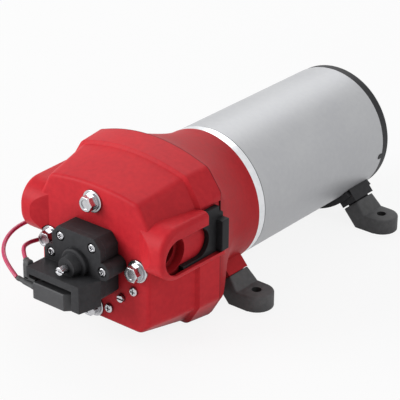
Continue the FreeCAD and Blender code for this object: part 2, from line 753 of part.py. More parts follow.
def port_clip():
    """Right hand slide clip: a fork that grips a fitting's neck, with a tab and a thumb wall."""
    centre = PORT_Y + CLIP_OPEN
    low = PORT_FLOOR_X + CLIP_GAP
    high = low + CLIP_T
    tip = centre - CLIP_PRONG_LEN
    corners = [(tip, PORT_Z - CLIP_HALF_H, CLIP_TIP_R), (CLIP_REAR_Y, PORT_Z - CLIP_HALF_H, CLIP_REAR_R),
               (CLIP_REAR_Y, PORT_Z + CLIP_HALF_H, CLIP_REAR_R), (tip, PORT_Z + CLIP_HALF_H, CLIP_TIP_R)]
    fork = side_prism(corners, low, high)
    fork = fork.cut(cross_rod(CLIP_R, low, high, centre, PORT_Z))
    fork = fork.cut(block(low, high, tip, centre, PORT_Z - CLIP_R, PORT_Z + CLIP_R))
    tab = block(low, high, CLIP_TAB_REAR_Y - CLIP_TAB_LEN, CLIP_TAB_REAR_Y,
                PORT_Z + CLIP_R, PORT_Z + CLIP_TAB_TOP)
    half = CLIP_THUMB_HALF_H
    thumb = block(low, CLIP_THUMB_X, CLIP_REAR_Y - CLIP_THUMB_T, CLIP_REAR_Y, PORT_Z - half, PORT_Z + half)
    face = [e for e in thumb.Edges if e.BoundBox.XMin > CLIP_THUMB_X - CONTACT_GAP]
    thumb = thumb.makeFillet(CLIP_PAD_T / 2, face)
    return fused(fork, tab, thumb)


# Valve plate, valves, seals and diaphragm

def inlet_places():
    """Centres of the inlet valves, one in each chamber."""
    return [polar(INLET_PCR, a) for a in chamber_angles()]


def valve_plate():
    """Thick plate with the pumping chambers behind and the valve seats in front."""
    plate = section_prism(PLATE_SECTION, VALVE_PLATE_FRONT, DIAPHRAGM_FRONT)
    cutters = []
    for x, z in chamber_places():
        cutters.append(rod(CHAMBER_R, CHAMBER_FLOOR, DIAPHRAGM_FRONT, x, z))
    for x, z in screw_places():
        cutters.append(rod(SCREW_R + SCREW_HOLE_GAP, VALVE_PLATE_FRONT, DIAPHRAGM_FRONT, x, z))
    for x, z in inlet_places():
        cutters.append(rod(INLET_STEM_R + VALVE_GAP, VALVE_PLATE_FRONT, CHAMBER_FLOOR, x, z))
        for i in range(INLET_HOLES):
            dx, dz = polar(INLET_HOLE_PCR, 360 * i / INLET_HOLES)
            cutters.append(rod(INLET_HOLE_R, VALVE_PLATE_FRONT, CHAMBER_FLOOR, x + dx, z + dz))
    cutters.append(rod(OUTLET_STEM_R + VALVE_GAP, VALVE_PLATE_FRONT, DIAPHRAGM_FRONT))
    for angle in chamber_angles():
        for step in (-1, 0, 1):
            x, z = polar(OUTLET_HOLE_PCR, angle + step * OUTLET_HOLE_STEP)
            cutters.append(rod(OUTLET_HOLE_R, VALVE_PLATE_FRONT, CHAMBER_FLOOR, x, z))
    for cutter in cutters:
        plate = plate.cut(cutter)
    return plate


def inlet_valve(x, z):
    """Umbrella valve with a stem and a retaining bulb."""
    flap = rod(INLET_FLAP_R, CHAMBER_FLOOR, CHAMBER_FLOOR + INLET_FLAP_T, x, z)
    stem = rod(INLET_STEM_R, VALVE_PLATE_FRONT, CHAMBER_FLOOR, x, z)
    bulb = rod(INLET_BULB_R, VALVE_PLATE_FRONT - INLET_BULB_H, VALVE_PLATE_FRONT, x, z)
    return fused(flap, stem, bulb)


def inlet_valves():
    """All inlet valves."""
    return Part.makeCompound([inlet_valve(x, z) for x, z in inlet_places()])


def outlet_valve():
    """One rubber disc that covers all the outlet holes, held by its stem."""
    disc = rod(OUTLET_DISC_R, VALVE_PLATE_FRONT - OUTLET_DISC_T, VALVE_PLATE_FRONT)
    stem = rod(OUTLET_STEM_R, VALVE_PLATE_FRONT, DIAPHRAGM_FRONT - OUTLET_STEM_INSET)
    return fused(disc, stem)


def head_seals():
    """Flat gasket round the gallery and the ring that seals the outlet dome."""
    inset = SEAL_INSET
    outer = section_prism(PLATE_SECTION, LEDGE_Y, VALVE_PLATE_FRONT, inset)
    gasket = outer.cut(section_prism(GALLERY_SECTION, LEDGE_Y, VALVE_PLATE_FRONT, -inset))
    for x, z in screw_places():
        gasket = gasket.cut(rod(COLUMN_R - SEAL_INSET, LEDGE_Y, VALVE_PLATE_FRONT, x, z))
    ring = tube(DOME_R + DOME_WALL - inset, DOME_R + inset, LEDGE_Y, VALVE_PLATE_FRONT)
    return Part.makeCompound([gasket, ring])


def tilted_circle(radius, y, x, z):
    """Circle about a chamber's centre that leans with the wobble plate."""
    edge = Part.makeCircle(radius, V(x, y, z), V(0, 1, 0))
    edge.rotate(PIVOT, V(1, 0, 0), TILT)
    return edge


def convolution(x, z):
    """Thin ring of the diaphragm between its clamped rim and one moving pad."""
    half = CONVOLUTION_T / 2
    middle = PIVOT.y
    outer_r = CHAMBER_R + CONVOLUTION_T / 2
    inner_r = PAD_R - CONVOLUTION_T / 2
    front = Part.makeLoft([Part.Wire(Part.makeCircle(outer_r, V(x, middle - half, z), V(0, 1, 0))),
                           Part.Wire(tilted_circle(inner_r, middle - half, x, z))], False, True)
    rear = Part.makeLoft([Part.Wire(Part.makeCircle(outer_r, V(x, middle + half, z), V(0, 1, 0))),
                          Part.Wire(tilted_circle(inner_r, middle + half, x, z))], False, True)
    rim = Part.makeLoft([Part.Wire(Part.makeCircle(outer_r, V(x, middle - half, z), V(0, 1, 0))),
                         Part.Wire(Part.makeCircle(outer_r, V(x, middle + half, z), V(0, 1, 0)))],
                        False, True)
    bore = Part.makeLoft([Part.Wire(tilted_circle(inner_r, middle - half, x, z)),
                          Part.Wire(tilted_circle(inner_r, middle + half, x, z))], False, True)
    faces = front.Faces + rear.Faces + rim.Faces + bore.Faces
    shell = Part.makeShell(faces)
    shell.sewShape()
    solid = Part.makeSolid(Part.Shell(shell.Faces))
    if solid.Volume < 0:
        solid.reverse()
    return solid


def diaphragm():
    """Rubber diaphragm: clamped rim, thin convolutions and one thick pad for each piston."""
    sheet = section_prism(PLATE_SECTION, DIAPHRAGM_FRONT, DIAPHRAGM_REAR)
    for x, z in chamber_places():
        sheet = sheet.cut(rod(CHAMBER_R, DIAPHRAGM_FRONT, DIAPHRAGM_REAR, x, z))
    for x, z in screw_places():
        sheet = sheet.cut(rod(SCREW_R + SCREW_HOLE_GAP, DIAPHRAGM_FRONT, DIAPHRAGM_REAR, x, z))
    for x, z in chamber_places():
        pad = tilted(rod(PAD_R, DIAPHRAGM_FRONT, DIAPHRAGM_REAR, x, z))
        sheet = sheet.multiFuse([convolution(x, z), pad])
        hole = rod(PISTON_SCREW_R + PISTON_HOLE_GAP, DIAPHRAGM_FRONT - PAD_T, DIAPHRAGM_REAR + PAD_T,
                   x, z)
        sheet = sheet.cut(tilted(hole))
    return sheet


# Wobble drive

def piston(x, z):
    """Disc that clamps the diaphragm's pad to the wobble plate."""
    front = DIAPHRAGM_FRONT - PAD_GAP - PISTON_T
    disc = rod(PISTON_R, front, DIAPHRAGM_FRONT - PAD_GAP, x, z)
    disc = disc.cut(rod(PISTON_SCREW_R + PISTON_HOLE_GAP, front, DIAPHRAGM_FRONT, x, z))
    return tilted(disc.cut(rod(PISTON_HEAD_R + PISTON_HOLE_GAP, front, front + PISTON_HEAD_H, x, z)))


def pistons():
    """One piston for each chamber."""
    return Part.makeCompound([piston(x, z) for x, z in chamber_places()])


def piston_screw(x, z):
    """Slotted screw through the piston and the pad into the wobble plate."""
    front = DIAPHRAGM_FRONT - PAD_GAP - PISTON_T
    head = rod(PISTON_HEAD_R, front, front + PISTON_HEAD_H, x, z)
    head = head.cut(slot_recess(front, x, z, 2 * PISTON_HEAD_R, PISTON_SLOT_W, PISTON_SLOT_DEPTH))
    shank = rod(PISTON_SCREW_R, front + PISTON_HEAD_H, DIAPHRAGM_REAR + PISTON_SCREW_BITE, x, z)
    return tilted(fused(head, shank))


def piston_screws():
    """Screws of all the pistons."""
    return Part.makeCompound([piston_screw(x, z) for x, z in chamber_places()])


def wobble_plate():
    """Plate with one pad for each piston, carried on the inclined bearing by its hub."""
    front = DIAPHRAGM_REAR + PAD_GAP
    hub_r = DRIVE_R + SEAT_GAP + HUB_WALL
    hub = rod(hub_r, front + PAD_PROUD, front + HUB_LEN)
    pieces = []
    for x, z in chamber_places():
        pieces.append(rod(PAD_R, front, front + PAD_T, x, z))
    arms = block(-CHAMBER_PCR, CHAMBER_PCR, front + PAD_PROUD, front + PAD_T, -ARM_W / 2, ARM_W / 2)
    for angle in chamber_angles()[:CHAMBERS // 2]:
        arm = arms.copy()
        arm.rotate(V(0, 0, 0), V(0, 1, 0), angle)
        pieces.append(arm)
    plate = fused(hub, *pieces)
    plate = plate.cut(rod(DRIVE_R + SEAT_GAP, DRIVE_FRONT, front + HUB_LEN))
    plate = plate.cut(rod(DRIVE_BORE_R + DRIVE_RACE_T, front, DRIVE_FRONT))
    for x, z in chamber_places():
        plate = plate.cut(rod(PISTON_SCREW_R + PAD_GAP, front, front + PAD_T, x, z))
    return tilted(plate)


def race_profile(inner, outer, y, width, track_r, ball_r):
    """Ring with a ball track, as a turned piece centred at y."""
    ring = tube(outer, inner, y - width / 2, y + width / 2)
    track = Part.makeTorus(track_r, ball_r + BALL_GAP, V(0, y, 0), V(0, 1, 0))
    return ring.cut(track)


def ball_set(count, track_r, ball_r, y):
    """Balls of one bearing."""
    balls = []
    for i in range(count):
        x, z = polar(track_r, 360 * i / count)
        balls.append(Part.makeSphere(ball_r, V(x, y, z)))
    return balls


def drive_bearing_inner():
    """Inner ring on the inclined journal."""
    return tilted(race_profile(DRIVE_BORE_R + PAD_GAP, DRIVE_BORE_R + DRIVE_RACE_T, DRIVE_Y, DRIVE_W,
                               DRIVE_TRACK_R, DRIVE_BALL_R))


def drive_bearing_outer():
    """Outer ring in the wobble plate's hub."""
    return tilted(race_profile(DRIVE_R - DRIVE_RACE_T, DRIVE_R, DRIVE_Y, DRIVE_W,
                               DRIVE_TRACK_R, DRIVE_BALL_R))


def drive_bearing_balls():
    """Balls between the two rings of the drive bearing."""
    balls = Part.makeCompound(ball_set(DRIVE_BALLS, DRIVE_TRACK_R, DRIVE_BALL_R, DRIVE_Y))
    return tilted(balls)


def eccentric_hub():
    """Hub on the shaft's end with the inclined journal that drives the wobble plate."""
    hub = rod(ECCENTRIC_R, ECCENTRIC_FRONT, ECCENTRIC_REAR)
    hub = hub.cut(block(-ECCENTRIC_R, ECCENTRIC_R, ECCENTRIC_FRONT, ECCENTRIC_REAR,
                        COUNTER_CUT_Z, ECCENTRIC_R))
    journal = tilted(rod(DRIVE_BORE_R, DRIVE_FRONT, ECCENTRIC_FRONT + JOURNAL_SHOULDER_T))
    shoulder_start = DRIVE_FRONT + DRIVE_W + PAD_GAP
    shoulder = tilted(rod(JOURNAL_SHOULDER_R, shoulder_start, ECCENTRIC_FRONT + JOURNAL_SHOULDER_T))
    hub = fused(hub, shoulder, journal)
    hub = hub.cut(rod(SHAFT_R + PAD_GAP, SHAFT_FRONT, ECCENTRIC_REAR))
    grub = upright_rod(GRUB_R + PAD_GAP, 0, ECCENTRIC_R, 0, GRUB_Y)
    return hub.cut(grub)


def eccentric_screw():
    """Grub screw that locks the hub to the shaft."""
    low = SHAFT_R + PAD_GAP
    grub = upright_rod(GRUB_R, low, low + GRUB_LEN, 0, GRUB_Y)
    top = low + GRUB_LEN
    socket = block(-GRUB_R / 2, GRUB_R / 2, GRUB_Y - GRUB_R / 2, GRUB_Y + GRUB_R / 2, top - GRUB_R / 2, top)
    return grub.cut(socket)


# Bell

def circle_corners():
    """Nine corners whose rounded outline is the bell's round rear edge."""
    marks = [BELL_TOUCH[-1 - i] for i in range(len(BELL_TOUCH))]
    marks = marks + [-90.0] + [-180.0 - mark for mark in reversed(marks)] + [marks[0] - 360.0]
    corners = []
    for before, after in zip(marks, marks[1:]):
        half = math.radians(before - after) / 2
        x, z = polar(BELL_R / math.cos(half), (before + after) / 2)
        corners.append((x, z, BELL_R * CIRCLE_ROUND))
    return corners[-1:] + corners[:-1]


def bell_corners(station, inset):
    """Corners of the bell's outline; shares 0 and 1 are the seam's shape and the round rear edge."""
    seam = section_corners(SEAM_SECTION, BELL_INSET + inset)
    scale = (BELL_R - inset) / BELL_R
    ring = [(x * scale, z * scale, r * scale) for x, z, r in circle_corners()]
    corners = []
    for a, b in zip(seam, ring):
        share = station[1] if a[1] > 0 else station[2]
        corners.append(tuple(p + (q - p) * share for p, q in zip(a, b)))
    return corners


def bell_wires(stations, inset):
    """Outlines of the bell at its stations."""
    return [station_wire(bell_corners(station, inset), station[0]) for station in stations]


def leg_outline(start, end, half):
    """Corners (x, z) of a bar along the leg's slope, measured from the rim of the foot's sleeve."""
    angle = math.radians(LEG_ANGLE)
    along = (math.cos(angle), -math.sin(angle))
    across = (math.sin(angle), math.cos(angle))
    points = []
    for s, t in ((start, -half), (start, half), (end, half), (end, -half)):
        points.append((LEG_RIM_X + along[0] * s + across[0] * t, LEG_RIM_Z + along[1] * s + across[1] * t))
    return points


def leg(y):
    """Sloped leg of a housing that fits into a foot's sleeve, on the right hand side."""
    points = leg_outline(-LEG_ROOT, LEG_TIP, LEG_THICK / 2)
    return flat_prism(points, y - LEG_WIDTH / 2, y + LEG_WIDTH / 2)


def leg_root(y, gap, wall, width):
    """Thicker root of a leg, which stops short of the foot's sleeve."""
    points = leg_outline(-LEG_ROOT, -gap, LEG_THICK / 2 + wall)
    return flat_prism(points, y - width / 2, y + width / 2)


def rear_bell():
    """Cast bell that joins the head to the motor and carries the two front legs."""
    body = Part.makeLoft(bell_wires(BELL_STATIONS, 0.0), True, False)
    right = leg(FRONT_FOOT_Y).fuse(leg_root(FRONT_FOOT_Y, FRONT_ROOT_GAP, SLEEVE_WALL,
                                             LEG_WIDTH + 2 * SLEEVE_WALL))
    body = body.multiFuse([right, mirrored(right)])
    seat_x = GROMMET_FACE_X + GROMMET_FLANGE_T
    body = body.fuse(cross_rod(GROMMET_BOSS_R, seat_x, seat_x + GROMMET_LEN, GROMMET_Y, GROMMET_Z))
    hollow_front = SEAM_Y + BELL_WEB_T
    inner = [w for w in BELL_STATIONS if hollow_front < w[0] < -BELL_REAR_T]
    inner = [(hollow_front,) + BELL_STATIONS[0][1:]] + inner + [(-BELL_REAR_T,) + BELL_STATIONS[-1][1:]]
    cavity = Part.makeLoft(bell_wires(inner, BELL_WALL), True, False)
    column_end = SEAM_Y + BELL_COLUMN_LEN
    for x, z in screw_places():
        cavity = cavity.cut(rod(COLUMN_R, hollow_front, column_end, x, z))
    body = body.cut(cavity)
    web_hole = rod(BELL_WEB_HOLE_R, SEAM_Y, hollow_front)
    for x, z in screw_places():
        web_hole = web_hole.cut(rod(COLUMN_R, SEAM_Y, hollow_front, x, z))
    body = body.cut(web_hole)
    body = body.cut(rod(BELL_BORE_R, -BELL_REAR_T, 0))
    for x, z in screw_places():
        body = body.cut(rod(SCREW_R + SEAT_GAP, SEAM_Y, SEAM_Y + SCREW_BITE, x, z))
    hole = cross_rod(GROMMET_R + SEAT_GAP, GROMMET_FACE_X, GROMMET_FACE_X + 2 * GROMMET_LEN,
                     GROMMET_Y, GROMMET_Z)
    return body.cut(hole)


# Motor

def shaft_bearing_outer():
    """Outer rings of the two shaft bearings."""
    rings = []
    for y in (FRONT_BEARING_Y, REAR_BEARING_Y):
        rings.append(race_profile(BEARING_R - RACE_T, BEARING_R, y, BEARING_W, SHAFT_TRACK_R, BALL_R))
    return Part.makeCompound(rings)


def shaft_bearing_inner():
    """Inner rings of the two shaft bearings."""
    rings = []
    for y in (FRONT_BEARING_Y, REAR_BEARING_Y):
        rings.append(race_profile(BEARING_BORE_R + PAD_GAP, BEARING_BORE_R + RACE_T, y, BEARING_W,
                                  SHAFT_TRACK_R, BALL_R))
    return Part.makeCompound(rings)


def shaft_bearing_balls():
    """Balls of the two shaft bearings."""
    balls = []
    for y in (FRONT_BEARING_Y, REAR_BEARING_Y):
        balls += ball_set(BEARING_BALLS, SHAFT_TRACK_R, BALL_R, y)
    return Part.makeCompound(balls)


def bolt_places():
    """The two through bolts, above and below the shaft."""
    return [(0.0, BOLT_PCR), (0.0, -BOLT_PCR)]


def motor_front_plate():
    """Turned end plate: bright rim, spigots into bell and tube, and the front bearing's seat."""
    rim = rod(MOTOR_R, 0, FRONT_PLATE_T - FRONT_PLATE_GROOVE)
    neck = rod(MOTOR_R - FRONT_PLATE_GROOVE, 0, FRONT_PLATE_T)
    inner_spigot = tube(SPIGOT_R, SPIGOT_R - TUBE_WALL, FRONT_PLATE_T, FRONT_PLATE_T + SPIGOT_LEN)
    bell_spigot = rod(BELL_SPIGOT_R, -BELL_SPIGOT_H, 0)
    seat_start = FRONT_BEARING_Y - BEARING_W / 2
    seat = rod(BEARING_R + 2 * RACE_T, seat_start - RACE_T, FRONT_PLATE_T + RACE_T)
    plate = fused(rim, neck, inner_spigot, bell_spigot, seat)
    plate = plate.cut(rod(BEARING_R + SEAT_GAP, seat_start, FRONT_PLATE_T + RACE_T))
    plate = plate.cut(rod(BEARING_R - RACE_T, -BELL_SPIGOT_H - RACE_T, FRONT_PLATE_T))
    for x, z in bolt_places():
        plate = plate.cut(rod(BOLT_R + SEAT_GAP, 0, FRONT_PLATE_T + SPIGOT_LEN, x, z))
    return plate


def motor_tube():
    """Steel shell of the motor."""
    return tube(MOTOR_R, TUBE_BORE_R, TUBE_START, TUBE_END)


def motor_rear_cap():
    """Black end cap with the rear bearing's seat and the plate that carries the brushes."""
    skin = rod(REAR_CAP_R, TUBE_END, REAR_END)
    rim = [e for e in skin.Edges if e.BoundBox.YMin > REAR_END - SEAT_GAP]
    skin = skin.makeFillet(REAR_CAP_EDGE, rim)
    spigot = tube(SPIGOT_R, SPIGOT_R - TUBE_WALL, TUBE_END - SPIGOT_LEN, TUBE_END)
    seat_start = REAR_BEARING_Y - BEARING_W / 2
    seat_r = BEARING_R + RACE_T + SEAT_GAP
    seat = rod(seat_r, seat_start, TUBE_END)
    cap = fused(skin, spigot, seat)
    cap = cap.cut(rod(BEARING_R + SEAT_GAP, seat_start, REAR_BEARING_Y + BEARING_W / 2))
    cap = cap.cut(rod(BEARING_BORE_R + RACE_T, seat_start, SHAFT_REAR + SEAT_GAP))
    for x, z in bolt_places():
        cap = cap.cut(rod(BOLT_R + SEAT_GAP, TUBE_END - SPIGOT_LEN, REAR_END, x, z))
        cap = cap.cut(rod(BOLT_HEAD_R + SEAT_GAP, REAR_END - BOLT_HEAD_H, REAR_END, x, z))
    return cap


def through_bolts():
    """Long bolts that clamp the cap, the tube and the front plate together."""
    bolts = []
    for x, z in bolt_places():
        shank = rod(BOLT_R, SEAT_GAP, REAR_END - BOLT_HEAD_H, x, z)
        head = rod(BOLT_HEAD_R, REAR_END - BOLT_HEAD_H, REAR_END - SEAT_GAP, x, z)
        bolt = fused(shank, head)
        cut = cross_recess(REAR_END - SEAT_GAP - CROSS_DEPTH, x, z, BOLT_HEAD_R)
        bolts.append(bolt.cut(cut))
    return Part.makeCompound(bolts)


def magnets():
    """Two ferrite arcs glued into the tube, left and right."""
    start = MAGNET_START
    arc = tube(MAGNET_R, MAGNET_R - MAGNET_T, start, start + MAGNET_LEN)
    half = math.radians(MAGNET_ARC / 2)
    reach = 2 * MAGNET_R
    points = [(0, 0), (reach * math.cos(half), -reach * math.sin(half)), (2 * reach, 0),
              (reach * math.cos(half), reach * math.sin(half))]
    right = arc.common(flat_prism(points, start, start + MAGNET_LEN))
    return Part.makeCompound([right, mirrored(right)])


def slot_places(radius):
    """Places evenly round the armature, one for each slot."""
    return [polar(radius, 360 * i / CORE_SLOTS) for i in range(CORE_SLOTS)]


def armature_core():
    """Laminated stack with slots for the winding."""
    core = rod(CORE_R, CORE_START, CORE_START + CORE_LEN)
    end = CORE_START + CORE_LEN
    for i, (x, z) in enumerate(slot_places(CORE_SLOT_PCR)):
        core = core.cut(rod(CORE_SLOT_R, CORE_START, end, x, z))
        half = CORE_SLOT_W / 2
        mouth = block(CORE_SLOT_PCR, CORE_R + AIR_GAP, CORE_START, end, -half, half)
        mouth.rotate(V(0, 0, 0), V(0, 1, 0), -360 * i / CORE_SLOTS)
        core = core.cut(mouth)
    return core.cut(rod(SHAFT_R + CORE_BORE_GAP, CORE_START, end))


def armature_winding():
    """Copper winding: end turns at both ends of the stack, joined by bars in the slots."""
    ends = []
    front = CORE_START - WINDING_END_LEN
    rear = CORE_START + CORE_LEN
    for start in (front, rear):
        ring = tube(WINDING_R, WINDING_BORE_R, start + CONTACT_GAP, start + WINDING_END_LEN - CONTACT_GAP)
        ring = ring.makeFillet(WINDING_ROUND, ring.Edges[:1])
        ends.append(ring)
    bars = []
    for x, z in slot_places(CORE_SLOT_PCR):
        bars.append(rod(WINDING_BAR_R, front + CONTACT_GAP + WINDING_END_LEN / 2,
                        rear + WINDING_END_LEN / 2, x, z))
    return ends[0].multiFuse(ends[1:] + bars)


def commutator():
    """Copper commutator with a cut between the bars."""
    start = COMMUTATOR_START
    end = start + COMMUTATOR_LEN
    drum = tube(COMMUTATOR_R, SHAFT_R + CORE_BORE_GAP, start, end)
    for i in range(CORE_SLOTS):
        cut = block(COMMUTATOR_R - COMMUTATOR_CUT_DEPTH, COMMUTATOR_R + COMMUTATOR_CUT_DEPTH, start, end,
                    -COMMUTATOR_CUT / 2, COMMUTATOR_CUT / 2)
        cut.rotate(V(0, 0, 0), V(0, 1, 0), 360 * (i + 0.5) / CORE_SLOTS)
        drum = drum.cut(cut)
    return drum


def motor_shaft():
    """Steel shaft from the eccentric hub to the rear bearing."""
    return rod(SHAFT_R, SHAFT_FRONT, SHAFT_REAR)


def brush():
    """Right hand carbon brush, with its face curved to the commutator."""
    start = COMMUTATOR_R
    body = block(start - BRUSH_T / 2, start + BRUSH_LEN, BRUSH_Y - BRUSH_W / 2, BRUSH_Y + BRUSH_W / 2,
                 -BRUSH_T / 2, BRUSH_T / 2)
    return body.cut(rod(COMMUTATOR_R + BALL_GAP, COMMUTATOR_START, COMMUTATOR_START + COMMUTATOR_LEN))


def brush_holder():
    """Right hand brass box that guides a brush, closed behind its spring, on its mounting foot."""
    gap = BRUSH_GAP
    start = HOLDER_START
    end = start + HOLDER_LEN
    half_w = BRUSH_W / 2 + gap
    half_t = BRUSH_T / 2 + gap
    wall = HOLDER_WALL
    outer = block(start, end, BRUSH_Y - half_w - wall, BRUSH_Y + half_w + wall,
                  -half_t - wall, half_t + wall)
    holder = outer.cut(block(start, end - wall, BRUSH_Y - half_w, BRUSH_Y + half_w, -half_t, half_t))
    foot = block(end - wall, SPIGOT_R - TUBE_WALL - gap, BRUSH_Y - half_w - wall,
                 TUBE_END - SEAT_GAP, -half_t - wall, half_t + wall)
    foot = foot.cut(block(end, SPIGOT_R, BRUSH_Y - half_w, TUBE_END, -half_t, half_t))
    return holder.fuse(foot).removeSplitter()


def brush_spring():
    """Right hand coil spring that presses a brush on the commutator."""
    start = COMMUTATOR_R + BRUSH_LEN + CONTACT_GAP
    end = HOLDER_START + HOLDER_LEN - HOLDER_WALL - CONTACT_GAP
    spring = coil_spring(BRUSH_SPRING_R, BRUSH_SPRING_WIRE, start, end, BRUSH_SPRING_TURNS)
    spring.rotate(V(0, 0, 0), V(0, 0, 1), -90)
    spring.translate(V(0, BRUSH_Y, 0))
    return spring


# Feet and saddle

def foot(y):
    """Right hand rubber boot: a sleeve on the leg and a thick round ended pad with a screw hole."""
    half = LEG_THICK / 2 + SLEEVE_WALL
    top = BASE_Z + FOOT_PAD_H
    rim_in, rim_out = leg_outline(0, 0, half)[:2]
    down = 1 / math.tan(math.radians(LEG_ANGLE))
    base_in = (rim_in[0] + (rim_in[1] - BASE_Z) * down, BASE_Z)
    base_out = (rim_out[0] + (rim_out[1] - BASE_Z) * down, BASE_Z)
    half_w = FOOT_WIDTH / 2
    half_rim_w = LEG_WIDTH / 2 + SLEEVE_WALL
    sleeve = flat_prism([rim_in, rim_out, base_out, base_in], y - half_w, y + half_w)
    sides = [V(0, y - half_w, BASE_Z), V(0, y + half_w, BASE_Z), V(0, y + half_w, top),
             V(0, y + half_rim_w, rim_out[1]), V(0, y - half_rim_w, rim_out[1]), V(0, y - half_w, top)]
    end = FOOT_X + FOOT_REACH
    sleeve = sleeve.common(Part.Face(Part.makePolygon(sides + sides[:1])).extrude(V(end, 0, 0)))
    corners = [(base_in[0], y - half_w, FOOT_EDGE), (end, y - half_w, FOOT_END_R),
               (end, y + half_w, FOOT_END_R), (base_in[0], y + half_w, FOOT_EDGE)]
    pad = plan_prism(corners, BASE_Z, top)
    rim = [e for e in pad.Edges if e.BoundBox.ZMin > top - SEAT_GAP]
    pad = pad.makeFillet(FOOT_EDGE, rim)
    boot = fused(pad, sleeve)
    points = leg_outline(-LEG_ROOT, LEG_TIP + SLEEVE_GAP, LEG_THICK / 2 + SLEEVE_GAP)
    half_pocket_w = LEG_WIDTH / 2 + SLEEVE_GAP
    boot = boot.cut(flat_prism(points, y - half_pocket_w, y + half_pocket_w))
    return boot.cut(upright_rod(FOOT_HOLE_R, BASE_Z, top, FOOT_X, y))


def rubber_feet():
    """The four feet."""
    right = [foot(FRONT_FOOT_Y), foot(REAR_FOOT_Y)]
    return Part.makeCompound(right + [mirrored(piece) for piece in right])


def saddle_screw_places():
    """Angles of the two saddle screws below the motor."""
    return (-90 - SADDLE_SCREW_ANGLE, -90 + SADDLE_SCREW_ANGLE)


def radial_rod(radius, low, high, degrees, y):
    """Round bar that points out from the shaft axis."""
    x, z = polar(1.0, degrees)
    return Part.makeCylinder(radius, high - low, V(x * low, y, z * low), V(x, 0, z))


def rear_saddle():
    """Bracket that hugs the underside of the motor and carries the two rear legs."""
    start = REAR_FOOT_Y - SADDLE_WIDTH / 2
    end = REAR_FOOT_Y + SADDLE_WIDTH / 2
    inner = MOTOR_R + SADDLE_GAP
    outer = inner + SADDLE_T
    band = tube(outer, inner, start, end)
    half = math.radians(SADDLE_ARC / 2)
    reach = 2 * outer
    points = [(0, 0), (reach * math.sin(half), -reach * math.cos(half)), (0, -2 * reach),
              (-reach * math.sin(half), -reach * math.cos(half))]
    band = band.common(flat_prism(points, start, end))
    root = leg_root(REAR_FOOT_Y, ROOT_GAP, ROOT_WALL, ROOT_WIDTH)
    right = leg(REAR_FOOT_Y).fuse(root).cut(rod(inner, start, end))
    saddle = fused(band, right, mirrored(right))
    for angle in saddle_screw_places():
        hole = radial_rod(SADDLE_SCREW_R + SEAT_GAP, MOTOR_R, outer + SADDLE_T, angle, REAR_FOOT_Y)
        saddle = saddle.cut(hole)
    return saddle


def saddle_screws():
    """Screws that hold the saddle to the motor's shell."""
    screws = []
    inner = MOTOR_R + SADDLE_GAP
    outer = inner + SADDLE_T
    for angle in saddle_screw_places():
        seat = outer + CONTACT_GAP
        head = radial_rod(SADDLE_SCREW_HEAD_R, seat, seat + SADDLE_SCREW_HEAD_H, angle, REAR_FOOT_Y)
        shank = radial_rod(SADDLE_SCREW_R, inner, outer + SADDLE_SCREW_HEAD_H, angle, REAR_FOOT_Y)
        screws.append(fused(head, shank))
    return Part.makeCompound(screws)


# Screws on the front face

def head_screws():
    """Hexagon flange screws through the head and the valve plate into the bell."""
    screws = []
    for x, z in screw_places():
        seat = FACE_Y - WASHER_T
        tip = seat - HEX_H
        flange = rod(HEX_FLANGE_R, seat - HEX_FLANGE_T, seat, x, z)
        head = hexagon(HEX_FLATS, tip, seat, x, z)
        corner = HEX_FLATS / 2 / math.cos(math.pi / 6)
        cap = revolved_cap(corner, tip, x, z)
        head = head.common(cap)
        shank = rod(SCREW_R, seat, SEAM_Y + SCREW_BITE - CONTACT_GAP, x, z)
        screw = fused(head, flange, shank)
        screws.append(screw.cut(rod(HEX_DISH_R, tip, tip + HEX_DISH_DEPTH, x, z)))
    return Part.makeCompound(screws)


def revolved_cap(corner, tip, x, z):
    """Round bar with a coned front end, which chamfers a hexagon's corners."""
    bevel = corner - HEX_FLATS / 2 + CONTACT_GAP
    profile = [(0, tip), (corner - bevel, tip), (corner, tip + bevel / 2), (corner, tip + HEX_H),
               (0, tip + HEX_H)]
    cap = revolved(profile)
    cap.translate(V(x, 0, z))
    return cap


def head_screw_washers():
    """Plain washers under the head screws."""
    rings = [tube(WASHER_R, SCREW_R + SCREW_HOLE_GAP, FACE_Y - WASHER_T, FACE_Y, x, z)
             for x, z in screw_places()]
    rounded = []
    for ring in rings:
        rim = [e for e in ring.Edges if e.BoundBox.YMax < FACE_Y - WASHER_T + CONTACT_GAP
               and e.BoundBox.XLength > 2 * WASHER_R - CONTACT_GAP]
        rounded.append(ring.makeFillet(WASHER_EDGE, rim))
    return Part.makeCompound(rounded)


def cap_screw_places():
    """The two small screws beside the bypass adjuster."""
    return [polar(CAP_SCREW_PCR, a) for a in CAP_SCREW_ANGLES]


def bypass_cap_screws():
    """Small screws on each side of the bypass adjuster."""
    return Part.makeCompound([pan_screw(FACE_Y, x, z, SMALL_HEAD_R, SMALL_HEAD_H, SMALL_SCREW_R,
                                        SMALL_SCREW_BITE - CONTACT_GAP)
                              for x, z in cap_screw_places()])


def bypass_adjuster():
    """Slotted screw that sets the bypass spring."""
    tip = FACE_Y - BYPASS_PROUD
    screw = rod(BYPASS_R, tip, tip + BYPASS_LEN, BYPASS_X, BYPASS_Z)
    rim = [e for e in screw.Edges if e.BoundBox.YMax < tip + CONTACT_GAP]
    screw = screw.makeChamfer(ADJUSTER_EDGE, rim)
    return screw.cut(slot_recess(tip, BYPASS_X, BYPASS_Z, 2 * BYPASS_R, ADJUSTER_SLOT_W,
                                 ADJUSTER_SLOT_DEPTH))


def bypass_spring():
    """Spring between the adjuster and the bypass poppet."""
    return coil_spring(BYPASS_SPRING_R, BYPASS_SPRING_WIRE, BYPASS_SPRING_START,
                       BYPASS_SPRING_START + BYPASS_SPRING_LEN, BYPASS_SPRING_TURNS, BYPASS_X, BYPASS_Z)


